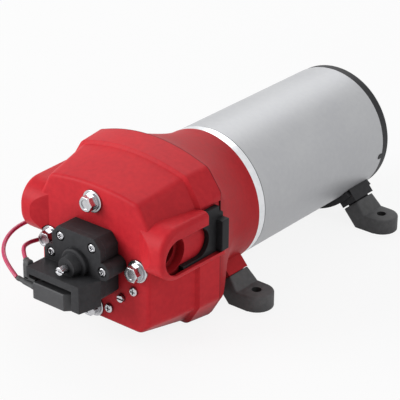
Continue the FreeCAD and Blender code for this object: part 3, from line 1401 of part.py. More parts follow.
def bypass_poppet():
    """Poppet with a coned nose that closes the bypass seat."""
    start = BYPASS_SPRING_START + BYPASS_SPRING_LEN + CONTACT_GAP
    seat = FACE_Y + BYPASS_COLUMN_LEN - 2 * PASSAGE_WALL - CONTACT_GAP
    body = rod(BYPASS_POPPET_R, start, seat, BYPASS_X, BYPASS_Z)
    rim = [e for e in body.Edges if e.BoundBox.YMin > seat - CONTACT_GAP]
    return body.makeChamfer(BYPASS_POPPET_R - BYPASS_SEAT_R - CONTACT_GAP, rim)


# Pressure switch

def cover_screw_places():
    """Screws of the switch cover: two above and one at each side lobe."""
    right = [(COVER_SCREW_X, COVER_SCREW_Z), (LOBE_X, LOBE_Z)]
    return right + [(-x, z) for x, z in right]


def switch_outline(start, end):
    """Outline of the switch housing with a lobe at each side, carried along Y."""
    right = [(SWITCH_TOP_X, SWITCH_TOP_Z), (SWITCH_SIDE_X, SWITCH_SIDE_TOP),
             (SWITCH_SIDE_X, SWITCH_SIDE_LOW), (SWITCH_LOW_X, SWITCH_LOW_Z)]
    left = [(-x, z) for x, z in reversed(right)]
    corners = [(x, z, SWITCH_CORNER_R) for x, z in right + left]
    body = Part.Face(station_wire(corners, start)).extrude(V(0, end - start, 0))
    lobes = [rod(LOBE_R, start, end, side * LOBE_X, LOBE_Z) for side in (1, -1)]
    return fused(body, *lobes)


def lever_room(start, end):
    """Space for the lever and its knuckle inside the switch."""
    room = LEVER_ROOM
    half = LEVER_W / 2 + room / 2
    return block(-half, half, start, end, LEVER_LOW_Z - room, LEVER_TOP_Z + room)


def switch_body():
    """Rear half of the switch: seat of the small diaphragm and guide of the plunger."""
    body = switch_outline(COVER_Y, FACE_Y)
    disc_front = FACE_Y - SWITCH_DIAPHRAGM_T - PLUNGER_DISC_T - PLUNGER_TRAVEL - 2 * CONTACT_GAP
    body = body.cut(rod(SWITCH_DIAPHRAGM_R + SEAT_GAP, FACE_Y - SWITCH_DIAPHRAGM_T, FACE_Y))
    body = body.cut(rod(PLUNGER_DISC_R + PLUNGER_GAP, disc_front, FACE_Y))
    body = body.cut(rod(PLUNGER_R + PLUNGER_GAP, COVER_Y, FACE_Y))
    body = body.cut(cross_rod(LEVER_KNUCKLE_R + PLUNGER_GAP, -LEVER_PIN_LEN / 2, LEVER_PIN_LEN / 2,
                              LEVER_PIN_Y, LEVER_PIN_Z))
    for x, z in cover_screw_places():
        body = body.cut(rod(COVER_SCREW_R + SEAT_GAP, COVER_Y, FACE_Y, x, z))
    return body


def snap_pin_places():
    """The two posts that carry the snap switch."""
    return [(SNAP_LEFT_X + SNAP_PIN_INSET, SNAP_FRONT_Y + SNAP_PIN_Y_INSET),
            (SNAP_RIGHT_X - 2 * SNAP_PIN_INSET, SNAP_REAR_Y - SNAP_PIN_INSET)]


def switch_shelf():
    """Box in front of the cover plate: shelf, apron, left cheek and right wall."""
    rear = PLATE_FACE_Y
    low = SHELF_TOP_Z - SHELF_T
    shelf = block(SHELF_LEFT_X, SHELF_RIGHT_X, SHELF_FRONT_Y, rear, low, SHELF_TOP_Z)
    apron = block(SHELF_LEFT_X, SHELF_RIGHT_X, SHELF_FRONT_Y, SHELF_FRONT_Y + APRON_T,
                  APRON_LOW_Z, SHELF_TOP_Z)
    cheek = block(SHELF_LEFT_X, SHELF_LEFT_X + CHEEK_T, SHELF_FRONT_Y, rear, CHEEK_LOW_Z, SHELF_TOP_Z)
    inner = SHELF_RIGHT_X - RIGHT_WALL_T
    corners = [(inner, SHELF_FRONT_Y), (SHELF_RIGHT_X, SHELF_FRONT_Y), (SWITCH_SIDE_X, rear), (inner, rear)]
    wall = wedge_prism(corners, SWITCH_LOW_Z, SHELF_TOP_Z)
    return fused(shelf, apron, cheek, wall)


def switch_cover():
    """Cover of the switch: plate, domed ring, adjuster boss and the box of the snap switch."""
    plate = switch_outline(PLATE_FACE_Y, COVER_Y)
    left_bridge = block(SHELF_LEFT_X, -SWITCH_SIDE_X, PLATE_FACE_Y, COVER_Y, CHEEK_LOW_Z, LOBE_Z)
    ring = rod(DOME_RING_R, RING_FACE_Y, PLATE_FACE_Y)
    rim = [e for e in ring.Edges if e.BoundBox.YMax < RING_FACE_Y + CONTACT_GAP]
    ring = ring.makeFillet(DOME_RING_ROUND, rim)
    knob = Part.makeCone(KNOB_TIP_R, KNOB_BASE_R, KNOB_LEN, V(0, KNOB_TIP_Y, 0), V(0, 1, 0))
    cover = fused(plate, left_bridge, ring, knob, switch_shelf())
    cover = cover.cut(lever_room(SNAP_REAR_Y, COVER_Y))
    cover = cover.cut(rod(SPRING_POCKET_R, RING_FACE_Y - SPRING_POCKET_DEPTH, COVER_Y))
    cover = cover.cut(rod(ADJUSTER_R + ADJUSTER_GAP, KNOB_TIP_Y, RING_FACE_Y))
    seat = CONTACT_GAP
    cover = cover.cut(block(SNAP_LEFT_X - seat, SNAP_RIGHT_X + seat, PLATE_FACE_Y, SNAP_REAR_Y + seat,
                            SNAP_TOP_Z - SNAP_T - seat, SNAP_TOP_Z + seat))
    cover = cover.cut(cross_rod(LEVER_PIN_R + SEAT_GAP, -LEVER_PIN_LEN / 2, LEVER_PIN_LEN / 2,
                                LEVER_PIN_Y, LEVER_PIN_Z))
    for x, z in cover_screw_places():
        cover = cover.cut(rod(COVER_SCREW_R + SEAT_GAP, PLATE_FACE_Y, COVER_Y, x, z))
        cover = cover.cut(rod(COVER_SINK_R, PLATE_FACE_Y, PLATE_FACE_Y + COVER_SINK_DEPTH, x, z))
    posts = [upright_rod(SNAP_PIN_R, SNAP_TOP_Z - SNAP_T + SNAP_PIN_R, SHELF_TOP_Z - SHELF_T, x, y)
             for x, y in snap_pin_places()]
    return cover.multiFuse(posts)


def cover_screws():
    """Cross head screws of the switch cover, sunk in counterbores."""
    seat = PLATE_FACE_Y + COVER_SINK_DEPTH
    bite = FACE_Y + COVER_SCREW_BITE - CONTACT_GAP - seat
    return Part.makeCompound([pan_screw(seat, x, z, COVER_HEAD_R, COVER_HEAD_H, COVER_SCREW_R, bite)
                              for x, z in cover_screw_places()])


def switch_diaphragm():
    """Small rubber diaphragm between the front housing and the switch."""
    return rod(SWITCH_DIAPHRAGM_R, FACE_Y - SWITCH_DIAPHRAGM_T + PAD_GAP, FACE_Y)


def switch_plunger():
    """Plunger that the water pressure pushes against the lever."""
    rear = FACE_Y - SWITCH_DIAPHRAGM_T - CONTACT_GAP
    disc = rod(PLUNGER_DISC_R, rear - PLUNGER_DISC_T, rear)
    tip = LEVER_REAR_Y + CONTACT_GAP
    stem = rod(PLUNGER_R, tip, rear - PLUNGER_DISC_T)
    rim = [e for e in stem.Edges if e.BoundBox.YMax < tip + CONTACT_GAP]
    return fused(disc, stem.makeFillet(PLUNGER_TIP_ROUND, rim))


def switch_lever():
    """Lever that carries the plunger's travel down to the snap switch's button."""
    half = LEVER_W / 2
    plate = block(-half, half, LEVER_FRONT_Y, LEVER_REAR_Y, LEVER_LOW_Z, LEVER_PIN_Z)
    knuckle = cross_rod(LEVER_KNUCKLE_R, -half, half, LEVER_PIN_Y, LEVER_PIN_Z)
    lever = fused(plate, knuckle)
    return lever.cut(cross_rod(LEVER_PIN_R + LEVER_PIN_GAP, -half, half, LEVER_PIN_Y, LEVER_PIN_Z))


def lever_pin():
    """Pin of the lever, held in the cover."""
    half = LEVER_PIN_LEN / 2 - CONTACT_GAP
    return cross_rod(LEVER_PIN_R, -half, half, LEVER_PIN_Y, LEVER_PIN_Z)


def adjusting_screw():
    """Slotted screw that sets the switching pressure."""
    screw = rod(ADJUSTER_R, ADJUSTER_TIP_Y, ADJUSTER_TIP_Y + ADJUSTER_LEN)
    rim = [e for e in screw.Edges if e.BoundBox.YMax < ADJUSTER_TIP_Y + CONTACT_GAP]
    screw = screw.makeChamfer(ADJUSTER_EDGE, rim)
    slot = slot_recess(ADJUSTER_TIP_Y, 0, 0, 2 * ADJUSTER_R, ADJUSTER_SLOT_W, ADJUSTER_SLOT_DEPTH)
    return screw.cut(slot)


def switch_spring():
    """Spring between the adjusting screw and the lever."""
    return coil_spring(SWITCH_SPRING_R, SWITCH_SPRING_WIRE, ADJUSTER_TIP_Y + ADJUSTER_LEN + CONTACT_GAP,
                       LEVER_FRONT_Y - CONTACT_GAP, SWITCH_SPRING_TURNS)


def snap_switch():
    """Body of the snap switch, on two posts below the shelf, with its terminal tabs."""
    low = SNAP_TOP_Z - SNAP_T
    points = [V(SNAP_LEFT_X, SNAP_FRONT_Y, low), V(SNAP_RIGHT_X - SNAP_CHAMFER, SNAP_FRONT_Y, low),
              V(SNAP_RIGHT_X, SNAP_FRONT_Y + SNAP_CHAMFER, low), V(SNAP_RIGHT_X, SNAP_REAR_Y, low),
              V(SNAP_LEFT_X, SNAP_REAR_Y, low)]
    body = Part.Face(Part.makePolygon(points + points[:1])).extrude(V(0, 0, SNAP_T))
    body = body.makeChamfer(SNAP_EDGE, [e for e in body.Edges if e.BoundBox.ZLength < SEAT_GAP])
    for x, y in snap_pin_places():
        body = body.cut(upright_rod(SNAP_PIN_R + SEAT_GAP, low, SNAP_TOP_Z, x, y))
    return body.cut(rod(BUTTON_R + BUTTON_GAP, SNAP_REAR_Y - BUTTON_LEN, SNAP_REAR_Y, BUTTON_X, BUTTON_Z))


def lower_tab(gap=0.0):
    """Terminal tab that points straight out of the snap switch's left end."""
    half_w = TAB_W / 2 + gap
    half_t = TAB_T / 2 + gap
    return block(SNAP_LEFT_X - TAB_LEN - gap, SNAP_LEFT_X, BOOT_ROOT_Y - half_w, BOOT_ROOT_Y + half_w,
                 BOOT_ROOT_Z - half_t, BOOT_ROOT_Z + half_t)


def upper_tab(gap=0.0):
    """Terminal tab that turns up beside the shelf."""
    half_w = TAB_W / 2 + gap
    flat = block(UPPER_BOOT_X - TAB_T / 2, SNAP_LEFT_X, UPPER_BOOT_Y - half_w, UPPER_BOOT_Y + half_w,
                 UPPER_TAB_Z, UPPER_TAB_Z + TAB_T)
    rise = block(UPPER_BOOT_X - TAB_T / 2 - gap, UPPER_BOOT_X + TAB_T / 2 + gap, UPPER_BOOT_Y - half_w,
                 UPPER_BOOT_Y + half_w, UPPER_TAB_Z, UPPER_TAB_Z + TAB_T + TAB_LEN + gap)
    return fused(flat, rise)


def snap_terminals():
    """Flat terminal tabs at the snap switch's left end."""
    return Part.makeCompound([lower_tab(), upper_tab()])


def snap_button():
    """Button of the snap switch."""
    tip = LEVER_FRONT_Y - CONTACT_GAP
    return rod(BUTTON_R, tip - BUTTON_LEN, tip, BUTTON_X, BUTTON_Z)


def boot_nose(root, end, radius):
    """Tapered end of a boot, from its root to the point where the lead comes out."""
    towards = (end - root).normalize()
    length = (end - root).Length - LEAD_GAP
    return Part.makeCone(radius, radius * BOOT_TAPER, length, root, towards)


def lower_boot():
    """Rubber boot on the lower terminal, in line with its lead."""
    root = V(SNAP_LEFT_X, BOOT_ROOT_Y, BOOT_ROOT_Z)
    boot = boot_nose(root, V(*OUTER_LEAD[0]), BOOT_R)
    behind = block(SNAP_LEFT_X - SEAT_GAP, SNAP_LEFT_X + BOOT_R, BOOT_ROOT_Y - 2 * BOOT_R,
                   BOOT_ROOT_Y + 2 * BOOT_R, BOOT_ROOT_Z - 2 * BOOT_R, BOOT_ROOT_Z + 2 * BOOT_R)
    return boot.cut(behind).cut(lower_tab(PAD_GAP))


def upper_boot():
    """Rubber boot on the upper terminal, with a nose towards its lead."""
    half = UPPER_BOOT_W / 2
    corner = half / 2
    x, y = UPPER_BOOT_X, UPPER_BOOT_Y
    boot = plan_prism([(x - half, y - BOOT_R, corner), (x + half, y - BOOT_R, corner),
                       (x + half, y + BOOT_R, corner), (x - half, y + BOOT_R, corner)],
                      UPPER_BOOT_LOW_Z, UPPER_BOOT_TOP_Z)
    root = V(x, y, UPPER_BOOT_TOP_Z - half)
    boot = fused(boot, boot_nose(root, V(*INNER_LEAD[0]), half))
    return boot.cut(upper_tab(PAD_GAP))


def terminal_boots():
    """Boots on both terminals."""
    return Part.makeCompound([lower_boot(), upper_boot()])


# Leads

def lead_path(route):
    """Straight runs joined by arcs as large as the shorter run allows."""
    points = [V(*p) for p in route]
    edges = []
    radii = []
    last = points[0]
    for i in range(1, len(points) - 1):
        into = points[i] - points[i - 1]
        out = points[i + 1] - points[i]
        turn = into.getAngle(out)
        reach = 0.45 * min(into.Length, out.Length)
        radius = reach / math.tan(turn / 2)
        radii.append(radius)
        start, middle, end = tangent_corner(points[i - 1], points[i], points[i + 1], radius)
        edges.append(Part.LineSegment(last, start).toShape())
        edges.append(Part.Arc(start, middle, end).toShape())
        last = end
    edges.append(Part.LineSegment(last, points[-1]).toShape())
    return Part.Wire(edges), radii


def lead(name, route):
    """Insulated lead along its route; prints its length, radii and how full its volume is."""
    path, radii = lead_path(route)
    start = V(*route[0])
    towards = V(*route[1]) - start
    section = Part.Wire(Part.makeCircle(LEAD_D / 2, start, towards))
    solid = path.makePipeShell([section], True, False)
    share = solid.Volume / (math.pi * LEAD_D ** 2 / 4 * path.Length)
    print(name, "length", round(path.Length, 1), "volume share", round(share, 4),
          "radii", [round(r, 1) for r in radii])
    return solid


def switch_lead_outer():
    """Lead from the lower terminal."""
    return lead("outer lead", OUTER_LEAD)


def switch_lead_inner():
    """Lead from the upper terminal."""
    return lead("inner lead", INNER_LEAD)


def lead_grommet():
    """Rubber grommet in the bell's left side, where both leads go in."""
    flange_start = GROMMET_FACE_X
    flange_end = flange_start + GROMMET_FLANGE_T
    flange = cross_rod(GROMMET_FLANGE_R, flange_start, flange_end, GROMMET_Y, GROMMET_Z)
    plug = cross_rod(GROMMET_R, flange_start, flange_start + GROMMET_LEN, GROMMET_Y, GROMMET_Z)
    return fused(flange, plug)


PIECES = {
    "front_housing": front_housing,
    "rear_bell": rear_bell,
    "valve_plate": valve_plate,
    "inlet_valves": inlet_valves,
    "outlet_valve": outlet_valve,
    "head_seals": head_seals,
    "diaphragm": diaphragm,
    "pistons": pistons,
    "piston_screws": piston_screws,
    "wobble_plate": wobble_plate,
    "drive_bearing_inner": drive_bearing_inner,
    "drive_bearing_outer": drive_bearing_outer,
    "drive_bearing_balls": drive_bearing_balls,
    "eccentric_hub": eccentric_hub,
    "eccentric_screw": eccentric_screw,
    "motor_shaft": motor_shaft,
    "armature_core": armature_core,
    "armature_winding": armature_winding,
    "commutator": commutator,
    "shaft_bearing_inner": shaft_bearing_inner,
    "shaft_bearing_outer": shaft_bearing_outer,
    "shaft_bearing_balls": shaft_bearing_balls,
    "motor_front_plate": motor_front_plate,
    "motor_tube": motor_tube,
    "motor_rear_cap": motor_rear_cap,
    "through_bolts": through_bolts,
    "magnets": magnets,
    "brush_right": brush,
    "brush_left": lambda: mirrored(brush()),
    "brush_holders": lambda: Part.makeCompound([brush_holder(), mirrored(brush_holder())]),
    "brush_spring_right": brush_spring,
    "brush_spring_left": lambda: mirrored(brush_spring()),
    "rubber_feet": rubber_feet,
    "rear_saddle": rear_saddle,
    "saddle_screws": saddle_screws,
    "port_clip_right": port_clip,
    "port_clip_left": lambda: mirrored(port_clip()),
    "head_screws": head_screws,
    "head_screw_washers": head_screw_washers,
    "bypass_cap_screws": bypass_cap_screws,
    "bypass_adjuster": bypass_adjuster,
    "bypass_spring": bypass_spring,
    "bypass_poppet": bypass_poppet,
    "switch_body": switch_body,
    "switch_cover": switch_cover,
    "cover_screws": cover_screws,
    "switch_diaphragm": switch_diaphragm,
    "switch_plunger": switch_plunger,
    "switch_lever": switch_lever,
    "lever_pin": lever_pin,
    "adjusting_screw": adjusting_screw,
    "switch_spring": switch_spring,
    "snap_switch": snap_switch,
    "snap_button": snap_button,
    "snap_terminals": snap_terminals,
    "terminal_boots": terminal_boots,
    "switch_lead_outer": switch_lead_outer,
    "switch_lead_inner": switch_lead_inner,
    "lead_grommet": lead_grommet,
}


def main():
    """Build every piece and write one file for each."""
    os.makedirs("parts", exist_ok=True)
    for name, build in PIECES.items():
        shape = to_row_frame(build())
        shape.exportStep("parts/" + name + ".step")
        print(name, "solids", len(shape.Solids), "valid", shape.isValid(), "volume", round(shape.Volume, 1))


main()
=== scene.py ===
"""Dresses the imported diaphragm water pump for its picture.

The rigid parts keep their CAD shapes and get procedural finishes. The rubber feet, the terminal boots,
the grommet, the two leads, the springs and the rear cap's locking tabs are new pieces.
Sizes in the piece classes are millimetres in the pump's own frame: x to the right, y along the motor's
shaft with y = 0 at the rear edge of the bell, z up from the shaft's axis.
"""
import json
import logging
import math
from dataclasses import dataclass
from enum import Enum

import bmesh
import bpy
import numpy as np
from mathutils import Matrix


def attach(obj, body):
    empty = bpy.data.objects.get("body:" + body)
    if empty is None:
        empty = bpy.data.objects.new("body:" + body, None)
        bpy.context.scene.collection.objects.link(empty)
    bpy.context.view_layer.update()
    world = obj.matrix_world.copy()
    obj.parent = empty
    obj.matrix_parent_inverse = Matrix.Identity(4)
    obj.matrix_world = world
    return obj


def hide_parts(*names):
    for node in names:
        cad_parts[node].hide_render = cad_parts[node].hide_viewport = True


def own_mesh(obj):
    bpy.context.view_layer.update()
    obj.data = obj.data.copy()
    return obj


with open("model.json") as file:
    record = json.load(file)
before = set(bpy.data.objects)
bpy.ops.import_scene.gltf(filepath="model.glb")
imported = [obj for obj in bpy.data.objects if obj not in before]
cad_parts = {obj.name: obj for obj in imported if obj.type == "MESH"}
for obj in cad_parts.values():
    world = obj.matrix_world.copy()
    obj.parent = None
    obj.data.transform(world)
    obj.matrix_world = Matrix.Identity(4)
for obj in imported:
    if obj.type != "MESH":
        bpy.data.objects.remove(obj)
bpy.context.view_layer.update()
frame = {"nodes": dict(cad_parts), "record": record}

MM = 0.001
PUMP_ORIGIN_MM = np.array([0.0, -47.0, 47.0])
MAIN_BODY = "pump"
NEARLY_ALONG = 0.9
LOG = logging.getLogger("pump")


# Shapes on grids

def row_metres(points: np.ndarray) -> np.ndarray:
    """Turn points in pump millimetres into the row's metres.

    Args:
        points: array whose last axis is x, y, z in pump millimetres.

    Returns:
        The same points in metres in the row's frame.
    """
    return (np.asarray(points, float) + PUMP_ORIGIN_MM) * MM


def rounded_loop(half_a: float, half_b: float, radius: float, side: int = 12, corner: int = 6) -> np.ndarray:
    """Closed loop round a rectangle with round corners.

    A corner is a quarter circle about its own centre, and the side that follows it is divided evenly.

    Args:
        half_a: half the size along the first axis.
        half_b: half the size along the second axis.
        radius: corner radius.
        side: parts that each straight side is divided into.
        corner: parts that each corner is divided into.

    Returns:
        Array of (a, b) pairs, anticlockwise.
    """
    quarter = np.arange(4) * math.pi / 2
    angle = quarter[:, None] + np.linspace(0, math.pi / 2, corner + 1)
    middle = quarter + math.pi / 4
    a = np.sign(np.cos(middle))[:, None] * (half_a - radius) + radius * np.cos(angle)
    b = np.sign(np.sin(middle))[:, None] * (half_b - radius) + radius * np.sin(angle)
    arcs = np.stack([a, b], -1)
    part = np.linspace(0, 1, side + 1)[1:-1, None]
    after = np.roll(arcs[:, 0], -1, axis=0)
    sides = arcs[:, -1][:, None] * (1 - part) + after[:, None] * part
    return np.concatenate([arcs, sides], axis=1).reshape(-1, 2)


def quarter_round(radius: float, steps: int = 5) -> np.ndarray:
    """Rows of a rounded edge, on a quarter circle.

    Args:
        radius: radius of the edge.
        steps: number of parts.

    Returns:
        Array of (drawn in, down) pairs, from (radius, 0) to (0, radius).
    """
    angle = np.linspace(0, math.pi / 2, steps + 1)
    return np.stack([radius * (1 - np.sin(angle)), radius * (1 - np.cos(angle))], -1)


@dataclass(frozen=True)
class Shell:
    """Closed surface on a grid of points whose columns go round.

    Attributes:
        grid: rows by columns by x, y, z, in pump millimetres.
        ring: whether the rows go round too; otherwise the first and last row each close on their middle.
    """
    grid: np.ndarray
    ring: bool = False

    def faces(self) -> list[tuple[int, ...]]:
        """Quads between neighbouring rows and columns, and a fan of triangles at each closed end.

        Returns:
            The numbers of each face's points.
        """
        rows, columns = self.grid.shape[:2]
        row = np.arange(rows if self.ring else rows - 1)[:, None] * columns
        below = (row + columns) % (rows * columns)
        column = np.arange(columns)[None, :]
        after = (column + 1) % columns
        quads = np.stack([row + column, row + after, below + after, below + column], -1)
        made = [tuple(quad) for quad in quads.reshape(-1, 4).tolist()]
        if not self.ring:
            first, last = rows * columns, rows * columns + 1
            start, end = column[0], (rows - 1) * columns + column[0]
            fans = [np.stack([np.roll(start, -1), start, np.full(columns, first)], -1),
                    np.stack([end, np.roll(end, -1), np.full(columns, last)], -1)]
            made += [tuple(face) for face in np.concatenate(fans).tolist()]
        return made

    def points(self) -> np.ndarray:
        """Grid points in row order, then the middles of the two closed ends.

        Returns:
            Array of x, y, z, in pump millimetres.
        """
        flat = self.grid.reshape(-1, 3)
        if self.ring:
            return flat
        return np.concatenate([flat, [self.grid[0].mean(0), self.grid[-1].mean(0)]])

    def mirrored(self) -> "Shell":
        """The same surface on the pump's left hand side."""
        return Shell(self.grid * np.array([-1.0, 1.0, 1.0]), self.ring)


def turned_shell(profile: np.ndarray, start: np.ndarray, towards: np.ndarray, columns: int = 40,
                 flatten: np.ndarray | None = None, wide: np.ndarray | None = None) -> Shell:
    """Surface of revolution: each row is a circle about the axis, at the row's place along it.

    Args:
        profile: rows of (distance along the axis, radius).
        start: point on the axis where the distance is 0.
        towards: direction of the axis.
        columns: points in each circle.
        flatten: for each row, how much of the radius is kept across the wide direction.
        wide: direction in which a flattened row keeps its radius.

    Returns:
        The closed surface.
    """
    axis = np.asarray(towards, float) / np.linalg.norm(towards)
    guide = np.array([0.0, 0.0, 1.0]) if wide is None else np.asarray(wide, float)
    if abs(axis @ guide) > NEARLY_ALONG:
        guide = np.array([0.0, 1.0, 0.0])
    first = guide - axis * (axis @ guide)
    first /= np.linalg.norm(first)
    second = np.cross(axis, first)
    angle = np.linspace(0, 2 * math.pi, columns, endpoint=False)[None, :, None]
    along, radius = profile[:, 0][:, None, None], profile[:, 1][:, None, None]
    keep = 1.0 if flatten is None else np.asarray(flatten, float)[:, None, None]
    ring = first * np.cos(angle) * radius + second * np.sin(angle) * radius * keep
    return Shell(np.asarray(start, float) + axis * along + ring)


def add_object(name: str, data: bpy.types.ID) -> bpy.types.Object:
    """Make an object that shows the data, and put it in the scene.

    Args:
        name: the object's name.
        data: its mesh, curve, camera or light.

    Returns:
        The object, at the origin.
    """
    made = bpy.data.objects.new(name, data)
    bpy.context.scene.collection.objects.link(made)
    return made


def make_piece(name: str, shells: list[Shell], slot: str, body: str = MAIN_BODY,
               sharp_degrees: float = 38.0) -> bpy.types.Object:
    """Make one visible piece from closed surfaces, in its place, riding on a body.

    Args:
        name: the piece's name.
        shells: its closed surfaces.
        slot: the record's material slot.
        body: the body that it rides on.
        sharp_degrees: edges that turn by more than this stay sharp.

    Returns:
        The object.
    """
    points = np.empty((0, 3))
    faces = []
    for shell in shells:
        faces += [tuple(index + len(points) for index in face) for face in shell.faces()]
        points = np.concatenate([points, shell.points()])
    mesh = bpy.data.meshes.new(name)
    mesh.from_pydata(row_metres(points).tolist(), [], faces)
    work = bmesh.new()
    work.from_mesh(mesh)
    bmesh.ops.recalc_face_normals(work, faces=work.faces)
    work.to_mesh(mesh)
    work.free()
    mesh.shade_smooth()
    mesh.set_sharp_from_angle(angle=math.radians(sharp_degrees))
    mesh.materials.append(FINISHES.material(slot))
    piece = add_object(name, mesh)
    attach(piece, body)
    LOG.info("%s: %d faces", name, len(faces))
    return piece


# Finishes

def linear(red: int, green: int, blue: int) -> tuple[float, float, float, float]:
    """Turn a colour as it is seen into the shader's values, by the standard curve.

    A value up to 0.04045 is divided by 12.92. Above that 0.055 is added, the sum is divided by 1.055, and the
    result is raised to the power 2.4.

    Args:
        red: red as seen, 0 to 255.
        green: green as seen, 0 to 255.
        blue: blue as seen, 0 to 255.

    Returns:
        Linear red, green and blue from 0 to 1, and an alpha of 1.
    """
    seen = np.array([red, green, blue]) / 255
    value = np.where(seen <= 0.04045, seen / 12.92, ((seen + 0.055) / 1.055) ** 2.4)
    return (*value.tolist(), 1.0)


class Grain(Enum):
    """Kinds of fine relief on a surface."""
    MOULDED = "moulded"
    CAST = "cast"
    ROLLED = "rolled"
    TURNED = "turned"
    PLATED = "plated"
    RUBBER = "rubber"
    WOUND = "wound"
    STACKED = "stacked"


@dataclass(frozen=True)
class GrainSizes:
    """How one kind of grain is drawn.

    Attributes:
        stretch: factor on x, y and z before the noise is read.
        scale: features per metre.
        detail: octaves of finer features.
        depth_mm: height of the relief.
    """
    stretch: tuple[float, float, float]
    scale: float
    detail: float
    depth_mm: float


GRAINS = {
    Grain.MOULDED: GrainSizes((1.0, 1.0, 1.0), 1500.0, 3.0, 0.030),
    Grain.CAST: GrainSizes((1.0, 1.0, 1.0), 650.0, 4.0, 0.045),
    Grain.ROLLED: GrainSizes((1.0, 0.06, 1.0), 1400.0, 3.0, 0.006),
    Grain.TURNED: GrainSizes((1.0, 1.0, 1.0), 2400.0, 2.0, 0.006),
    Grain.PLATED: GrainSizes((1.0, 1.0, 1.0), 2600.0, 2.0, 0.006),
    Grain.RUBBER: GrainSizes((1.0, 1.0, 1.0), 1000.0, 5.0, 0.060),
    Grain.WOUND: GrainSizes((0.0, 0.25, 1.0), 1200.0, 1.0, 0.200),
    Grain.STACKED: GrainSizes((0.0, 1.0, 0.0), 1900.0, 0.0, 0.050),
}


@dataclass(frozen=True)
class Finish:
    """What one material slot looks like.

    Attributes:
        slot: the record's material slot, or the name of a part's own finish.
        light: colour of its lighter patches, as seen.
        dark: colour of its darker patches, as seen.
        grain: kind of fine relief.
        roughness: lowest and highest roughness.
        metallic: share of metal.
        specular: strength of a plastic's shine.
        coat: share of clear coat.
        edge_mm: radius that sharp edges are softened to.
        edge_wear_and_highlight: how much lighter the edges are, as wear and as a painted highlight.
        painted_shade_depth: how much darker the hollows are, as painted shade.
        seam: whether it shows the joint between the two housings.
    """
    slot: str
    light: tuple[int, int, int]
    dark: tuple[int, int, int]
    grain: Grain
    roughness: tuple[float, float]
    metallic: float = 0.0
    specular: float = 0.5
    coat: float = 0.0
    edge_mm: float = 0.25
    # Lighter edges: wear and a painted highlight, put into the base colour.
    edge_wear_and_highlight: float = 0.12
    # Painted shade: how far the colour in the hollows is darkened.
    painted_shade_depth: float = 0.55
    seam: bool = False


# Each finish also says how far its edges are lightened (wear and painted highlight) and its hollows darkened
# (painted shade).
FINISH_LIST = (
    Finish("housing_red", (209, 46, 54), (195, 38, 48), Grain.MOULDED, (0.40, 0.52), specular=0.13,
           edge_mm=0.5, painted_shade_depth=0.9, seam=True),
    Finish("bell_red", (188, 38, 45), (173, 32, 39), Grain.CAST, (0.46, 0.60), specular=0.14, edge_mm=0.4,
           seam=True),
    Finish("motor_silver", (189, 190, 192), (183, 184, 187), Grain.ROLLED, (0.46, 0.54), metallic=0.45,
           specular=0.3, painted_shade_depth=0.3),
    Finish("turned_alloy", (228, 229, 231), (214, 215, 218), Grain.TURNED, (0.26, 0.36), metallic=0.85),
    Finish("black_plastic", (62, 62, 64), (51, 51, 53), Grain.MOULDED, (0.42, 0.54), specular=0.12,
           edge_mm=0.35, edge_wear_and_highlight=0.3, painted_shade_depth=0.85),
    Finish("clip_plastic", (46, 46, 48), (38, 38, 40), Grain.MOULDED, (0.42, 0.54), specular=0.12,
           edge_mm=0.35, edge_wear_and_highlight=0.3, painted_shade_depth=0.85),
    Finish("dark_grey_plastic", (74, 74, 76), (64, 64, 66), Grain.MOULDED, (0.40, 0.55), specular=0.35,
           edge_wear_and_highlight=0.25),
    Finish("black_rubber", (92, 92, 93), (74, 74, 75), Grain.RUBBER, (0.55, 0.72), specular=0.35, edge_wear_and_highlight=0.3),
    Finish("zinc_steel", (206, 206, 209), (184, 184, 188), Grain.PLATED, (0.14, 0.26), metallic=1.0),
    Finish("bearing_steel", (200, 200, 204), (186, 187, 190), Grain.TURNED, (0.12, 0.22), metallic=1.0),
    Finish("shaft_steel", (190, 191, 194), (172, 173, 176), Grain.TURNED, (0.20, 0.30), metallic=1.0),
    Finish("core_steel", (128, 128, 132), (108, 108, 112), Grain.STACKED, (0.40, 0.55), metallic=0.9),
    Finish("ferrite", (60, 60, 64), (46, 46, 50), Grain.CAST, (0.65, 0.80), specular=0.3),
    Finish("copper_wire", (176, 92, 52), (146, 68, 36), Grain.WOUND, (0.28, 0.42), metallic=0.8),
    Finish("copper", (200, 122, 86), (178, 100, 68), Grain.TURNED, (0.22, 0.36), metallic=1.0),
    Finish("brass", (206, 174, 104), (186, 152, 84), Grain.PLATED, (0.22, 0.36), metallic=1.0),
    Finish("carbon", (48, 48, 50), (36, 36, 38), Grain.CAST, (0.50, 0.70), specular=0.4),
    Finish("drive_alloy", (176, 178, 182), (156, 158, 162), Grain.CAST, (0.36, 0.50), metallic=0.9),
    Finish("white_plastic", (228, 226, 218), (214, 212, 204), Grain.MOULDED, (0.38, 0.52)),
    Finish("red_insulation", (204, 44, 96), (184, 34, 82), Grain.MOULDED, (0.34, 0.46), coat=0.2),
    Finish("spring_steel", (176, 178, 182), (150, 152, 156), Grain.PLATED, (0.24, 0.36), metallic=1.0),
)


# Shader nodes

def add_node(tree: bpy.types.NodeTree, kind: str, inputs: dict | None = None,
             **settings: object) -> bpy.types.Node:
    """Add a node to a tree.

    Args:
        tree: the tree.
        kind: the node's type.
        inputs: values of its input sockets, by name or number.
        settings: values of the node's own settings, which are set first.

    Returns:
        The node.
    """
    node = tree.nodes.new(kind)
    for label, value in settings.items():
        setattr(node, label, value)
    for socket, value in (inputs or {}).items():
        node.inputs[socket].default_value = value
    return node


def wire(tree: bpy.types.NodeTree, *links: tuple) -> None:
    """Link the nodes of a tree. Each link is a node, its output, the next node and that one's input."""
    for start, output, end, entry in links:
        tree.links.new(start.outputs[output], end.inputs[entry])


